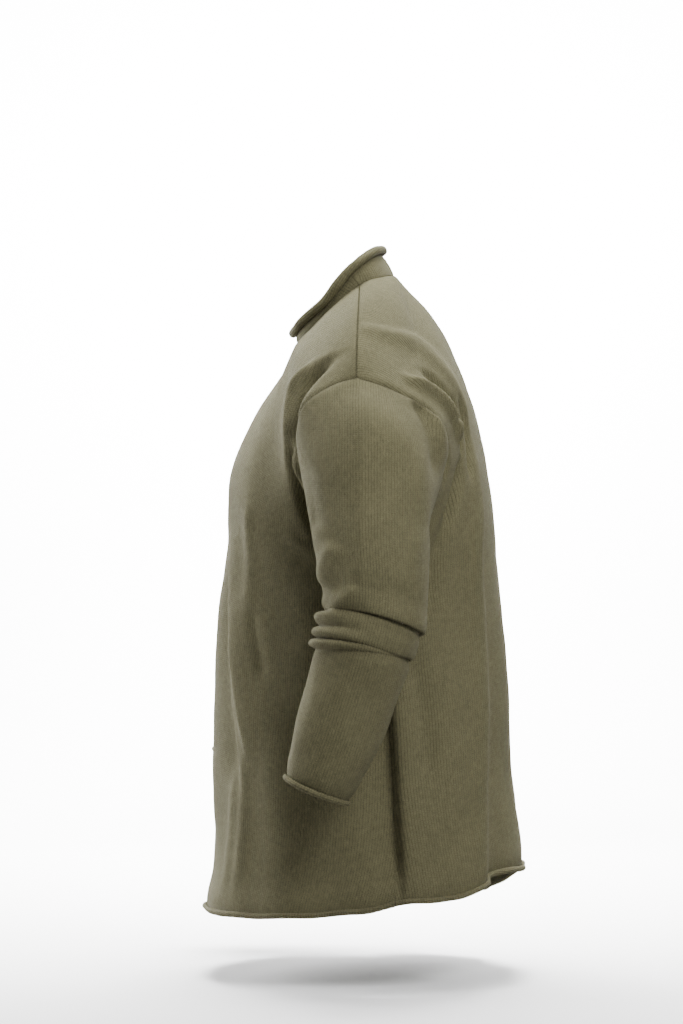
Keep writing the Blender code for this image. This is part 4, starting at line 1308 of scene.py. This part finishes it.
for name, piece in pieces.items():
    piece.data.materials.append(wool("wool_" + name))
    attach(piece, "root")
    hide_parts(name)

# %% [markdown]
# ## Linked seams
#
# The pieces are joined loop by loop with the same yarn. Each seam is a line of points that know which
# way is outward, and one small bowed stitch slants across it at every step.

# %% Stitch maker
STITCH = {"Pitch": 0.0025, "Length": 0.0022, "Thickness": 0.0006, "Slant": math.radians(28)}


def stitch_maker(yarn):
    """A group that turns a line of points into a row of small bowed stitches across it."""
    tree = bpy.data.node_groups.new("linking stitches", "GeometryNodeTree")
    tree.interface.new_socket("Geometry", in_out="INPUT", socket_type="NodeSocketGeometry")
    for name in STITCH:
        tree.interface.new_socket(name, in_out="INPUT", socket_type="NodeSocketFloat")
    tree.interface.new_socket("Geometry", in_out="OUTPUT", socket_type="NodeSocketGeometry")
    given = tree.nodes.new("NodeGroupInput").outputs

    def times(value, by):
        return maths(tree, "MULTIPLY", value, by)

    def point(**values):
        return add_node(tree, "ShaderNodeCombineXYZ", **values).outputs[0]

    half, slant = times(given["Length"], 0.5), given["Slant"]
    reach_x, reach_y = times(half, maths(tree, "SINE", slant)), times(half, maths(tree, "COSINE", slant))
    sunk = times(given["Thickness"], -0.5)
    bar = add_node(
        tree, "GeometryNodeCurveQuadraticBezier", Resolution=5,
        Start=point(X=reach_x, Y=reach_y, Z=sunk), Middle=point(Z=times(given["Thickness"], 1.3)),
        End=point(X=times(reach_x, -1.0), Y=times(reach_y, -1.0), Z=sunk))
    ring = add_node(
        tree, "GeometryNodeCurvePrimitiveCircle", Resolution=6, Radius=times(given["Thickness"], 0.5))
    stitch = add_node(tree, "GeometryNodeCurveToMesh", Curve=bar.outputs[0],
                      Profile_Curve=ring.outputs[0], Fill_Caps=True)
    line = add_node(tree, "GeometryNodeMeshToCurve", Mesh=given["Geometry"])
    steps = add_node(tree, "GeometryNodeResampleCurve", Curve=line.outputs[0])
    steps.mode = "LENGTH"
    tree.links.new(given["Pitch"], next(s for s in steps.inputs if s.name == "Length"))
    tangent = tree.nodes.new("GeometryNodeInputTangent").outputs[0]
    outward = add_node(tree, "GeometryNodeInputNamedAttribute", Name="outward")
    outward.data_type = "FLOAT_VECTOR"
    along = add_node(tree, "FunctionNodeAlignRotationToVector", Vector=tangent)
    along.axis = "X"
    upright = add_node(
        tree, "FunctionNodeAlignRotationToVector", Rotation=along.outputs[0], Vector=outward.outputs[0])
    upright.axis, upright.pivot_axis = "Z", "X"
    row = add_node(tree, "GeometryNodeInstanceOnPoints", Points=steps.outputs[0],
                   Instance=stitch.outputs[0], Rotation=upright.outputs[0])
    real = add_node(tree, "GeometryNodeRealizeInstances", Geometry=row.outputs[0])
    dressed = add_node(tree, "GeometryNodeSetMaterial", Geometry=real.outputs[0], Material=yarn)
    tree.links.new(dressed.outputs[0], tree.nodes.new("NodeGroupOutput").inputs[0])
    return tree


def yarn_material():
    """The sweater's yarn, with random tone from stitch to stitch, painted darker overall as shade where it
    lies between two pieces.
    """
    yarn, tree, shader = new_material("linking_yarn", Roughness=0.92, Specular_IOR_Level=0.10)
    where = tree.nodes.new("ShaderNodeTexCoord").outputs["Object"]
    noise = add_node(tree, "ShaderNodeTexNoise", Vector=where, Scale=900.0)
    # The mix lies mostly below the wool's olive: painted shade for the seam between two pieces; the noise
    # is the yarn's own random tone
    dark, light = ((*[c * share for c in OLIVE], 1.0) for share in (0.62, 1.05))
    mix = colour_mix(tree, noise.outputs["Fac"], dark, light)
    tree.links.new(mix.outputs["Result"], shader.inputs["Base Color"])
    return yarn


linking_yarn = yarn_material()
maker = stitch_maker(linking_yarn)
print("stitch maker nodes", len(maker.nodes))

# %% [markdown]
# The stitches lie on the outer face along both armholes, both shoulders and the neckline.

# %% Stitches on the seams
def face_line(*runs):
    """Outer points and directions along runs of point numbers, each run on its own panel."""
    points = np.concatenate([sheet.points[numbers] for sheet, numbers in runs])
    outward = np.concatenate([normals_at[sheet.name][numbers] for sheet, numbers in runs])
    return points + outward * WALL / 2, outward


def stitched(name, points, outward, closed):
    """A row of stitches along a line of points, as a plain mesh."""
    mesh = bpy.data.meshes.new(name)
    ties = [(k, k + 1) for k in range(len(points) - 1)] + [(len(points) - 1, 0)] * closed
    mesh.from_pydata(points, ties, [])
    mesh.attributes.new("outward", "FLOAT_VECTOR", "POINT").data.foreach_set("vector", outward.ravel())
    shown = bpy.data.objects.new(name, mesh)
    bpy.context.scene.collection.objects.link(shown)
    modifier = shown.modifiers.new("linking", "NODES")
    modifier.node_group = maker
    for item in maker.interface.items_tree:
        if item.in_out == "INPUT" and item.name in STITCH:
            modifier[item.identifier] = STITCH[item.name]
    ready = shown.evaluated_get(bpy.context.evaluated_depsgraph_get())
    plain = bpy.data.meshes.new_from_object(ready)
    shown.modifiers.clear()
    shown.data = plain
    plain.shade_smooth()
    print(name, len(plain.polygons), "faces")
    return shown


rows_on = {}
for side, word in ((1, "left"), (-1, "right")):
    down_front, up_back = armhole_numbers[side]
    loop = face_line((front, down_front[:-1]), (back, up_back[:-1]))
    rows_on["sleeve_" + word] = [stitched("armhole_stitches_" + word, *loop, closed=True)]
    shoulder = face_line((front, front.index[side][-1][3:-3]))
    rows_on.setdefault("front", []).append(stitched("shoulder_stitches_" + word, *shoulder, closed=False))
neckline = face_line(
    (front, neck_front[1]), (back, neck_back[1][::-1][1:]),
    (back, neck_back[-1][1:]), (front, neck_front[-1][::-1][1:-1]),
)
rows_on["collar"] = [stitched("neck_stitches", *neckline, closed=True)]
for name, rows in rows_on.items():
    for row in rows:
        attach(row, "root")

# %% [markdown]
# ## The cloth as it was knitted
#
# Each piece was knitted flat. Its flat width and length are the greatest spread of its knitting places,
# and its area is less than their product because it is shaped. Only a record for width, length and area
# is set up here; no piece's values are worked out.

# %% Record of the flat cloth
Cut = namedtuple("Cut", "width length area")

# %% [markdown]
# ## Room and light
#
# A pale floor that curves up into a pale wall, broad soft light from above and behind the shoulder, and
# bright light on the wall. The paper gives back less light than it shows, which keeps the floor from
# lighting the folds from below. Far from the garment it shines by itself, for the eye alone. Seen from
# behind it is clear, and past its edges lies a plain bright room.

# %% Floor and backdrop
FLOOR_Z = -0.770
PAST_PAPER = 2.6
PAPER_REACH = 14.0
WALL_TOP = 6.0
WALL_X = -3.8
BEND = 1.6
PAPER_SHOWS = (0.9, 0.9, 0.9, 1.0)
PAPER_GIVES = (0.22, 0.22, 0.22, 1.0)
SHINES_FROM = 1.2
SHINES_FULLY = 5.0


def floor_mesh():
    """The paper's profile, drawn out to both sides."""
    profile = [(PAPER_REACH, 0.0)]
    for turn in np.linspace(0, math.pi / 2, 14):
        profile.append((WALL_X + BEND - BEND * math.sin(turn), BEND * (1 - math.cos(turn))))
    profile.append((WALL_X, WALL_TOP))
    points = [(x, y, FLOOR_Z + z) for x, z in profile for y in (-PAPER_REACH, PAPER_REACH)]
    faces = [(2 * k, 2 * k + 1, 2 * k + 3, 2 * k + 2) for k in range(len(profile) - 1)]
    mesh = bpy.data.meshes.new("floor")
    mesh.from_pydata(points, [], faces)
    mesh.shade_smooth()
    return mesh


def paper_material():
    """Pale paper that the camera sees brighter far off, and that is clear from behind."""
    paper, tree, shader = new_material("pale_floor", Roughness=0.85, Emission_Color=(1.0, 1.0, 1.0, 1.0))
    seen = tree.nodes.new("ShaderNodeLightPath").outputs["Is Camera Ray"]
    tone = colour_mix(tree, seen, PAPER_GIVES, PAPER_SHOWS)
    tree.links.new(tone.outputs["Result"], shader.inputs["Base Color"])
    facing = tree.nodes.new("ShaderNodeNewGeometry").outputs
    spot = add_node(tree, "ShaderNodeSeparateXYZ", Vector=facing["Position"]).outputs
    squares = [maths(tree, "POWER", spot[k], 2.0) for k in (0, 1)]
    away = maths(tree, "SQRT", maths(tree, "ADD", *squares))
    far = add_node(tree, "ShaderNodeMapRange", Value=away, From_Min=SHINES_FROM, From_Max=SHINES_FULLY,
                   To_Max=PAST_PAPER)
    far.interpolation_type = "SMOOTHSTEP"
    glow = maths(tree, "MULTIPLY", far.outputs["Result"], seen)
    tree.links.new(glow, shader.inputs["Emission Strength"])
    clear = tree.nodes.new("ShaderNodeBsdfTransparent")
    either = tree.nodes.new("ShaderNodeMixShader")
    from_behind = maths(tree, "MULTIPLY", facing["Backfacing"], seen)
    for socket, value in zip(either.inputs, (from_behind, shader.outputs[0], clear.outputs[0])):
        tree.links.new(value, socket)
    tree.links.new(either.outputs[0], tree.nodes["Material Output"].inputs["Surface"])
    return paper


floor = bpy.data.objects.new("floor", floor_mesh())
bpy.context.scene.collection.objects.link(floor)
floor.data.materials.append(paper_material())

# %% [markdown]
# The key light stands high behind the shoulder on the camera's side. A large light in front models the
# chest, two lights from the far side draw the edges, and the last two brighten the paper.

# %% Lights
Lamp = namedtuple("Lamp", "name place target size watts spread")
LAMPS = (
    Lamp("key", (2.6, 1.5, 1.7), (0.0, 0.0, -0.3), (1.1, 1.1), 130, 180),
    Lamp("top", (0.5, 0.2, 2.4), (0.1, 0.0, -0.2), (1.5, 1.5), 78, 180),
    Lamp("front_light", (-0.8, -2.6, 0.2), (0.0, -0.1, -0.35), (1.2, 2.2), 108, 180),
    Lamp("fill", (3.7, 1.2, -0.1), (0.0, 0.0, -0.35), (1.2, 1.2), 6, 180),
    Lamp("front_rim", (-2.3, -1.7, 0.2), (0.0, -0.1, -0.3), (1.2, 2.2), 165, 180),
    Lamp("back_rim", (-2.1, 1.4, 0.8), (0.0, 0.1, -0.3), (1.2, 2.2), 70, 180),
    Lamp("wall_wash", (-2.5, 0.0, 1.7), (-3.9, 0.0, -0.1), (3.0, 0.6), 340, 100),
    Lamp("floor_wash", (-1.6, 0.0, 1.6), (-1.6, 0.0, -0.8), (2.4, 1.2), 200, 80),
)
for lamp in LAMPS:
    light = bpy.data.lights.new(lamp.name, "AREA")
    light.shape = "RECTANGLE"
    light.size, light.size_y = lamp.size
    light.energy = lamp.watts
    light.spread = math.radians(lamp.spread)
    stand = bpy.data.objects.new(lamp.name, light)
    stand.location = lamp.place
    stand.rotation_euler = (Vector(lamp.target) - Vector(lamp.place)).to_track_quat("-Z", "Y").to_euler()
    bpy.context.scene.collection.objects.link(stand)

WORLD_LIGHT = 0.02
world = bpy.data.worlds.new("studio")
world.use_nodes = True
sky = world.node_tree.nodes["Background"].inputs
sky["Color"].default_value = (1.0, 1.0, 1.0, 1.0)
seen = world.node_tree.nodes.new("ShaderNodeLightPath").outputs["Is Camera Ray"]
brightness = maths(world.node_tree, "MULTIPLY", seen, PAST_PAPER)
brightness = maths(world.node_tree, "ADD", WORLD_LIGHT, brightness)
world.node_tree.links.new(brightness, sky["Strength"])
bpy.context.scene.world = world
print("lights", len(LAMPS))

# %% [markdown]
# The camera looks level at the left side, from far enough away that both sleeves overlap as in the picture.

# %% Camera
CAMERA_PLACE = (4.48, -0.0096, -0.25)
FOCAL_PIXELS = 3966
PICTURE_HEIGHT = 1024
SENSOR = 36.0
camera = bpy.data.cameras.new("camera")
camera.sensor_fit = "VERTICAL"
camera.sensor_height = SENSOR
camera.lens = SENSOR * FOCAL_PIXELS / PICTURE_HEIGHT
seat = bpy.data.objects.new("camera", camera)
seat.location = CAMERA_PLACE
seat.rotation_euler = (math.radians(90), 0, math.radians(90))
bpy.context.scene.collection.objects.link(seat)
bpy.context.scene.camera = seat
print("lens", round(camera.lens, 1), "mm")
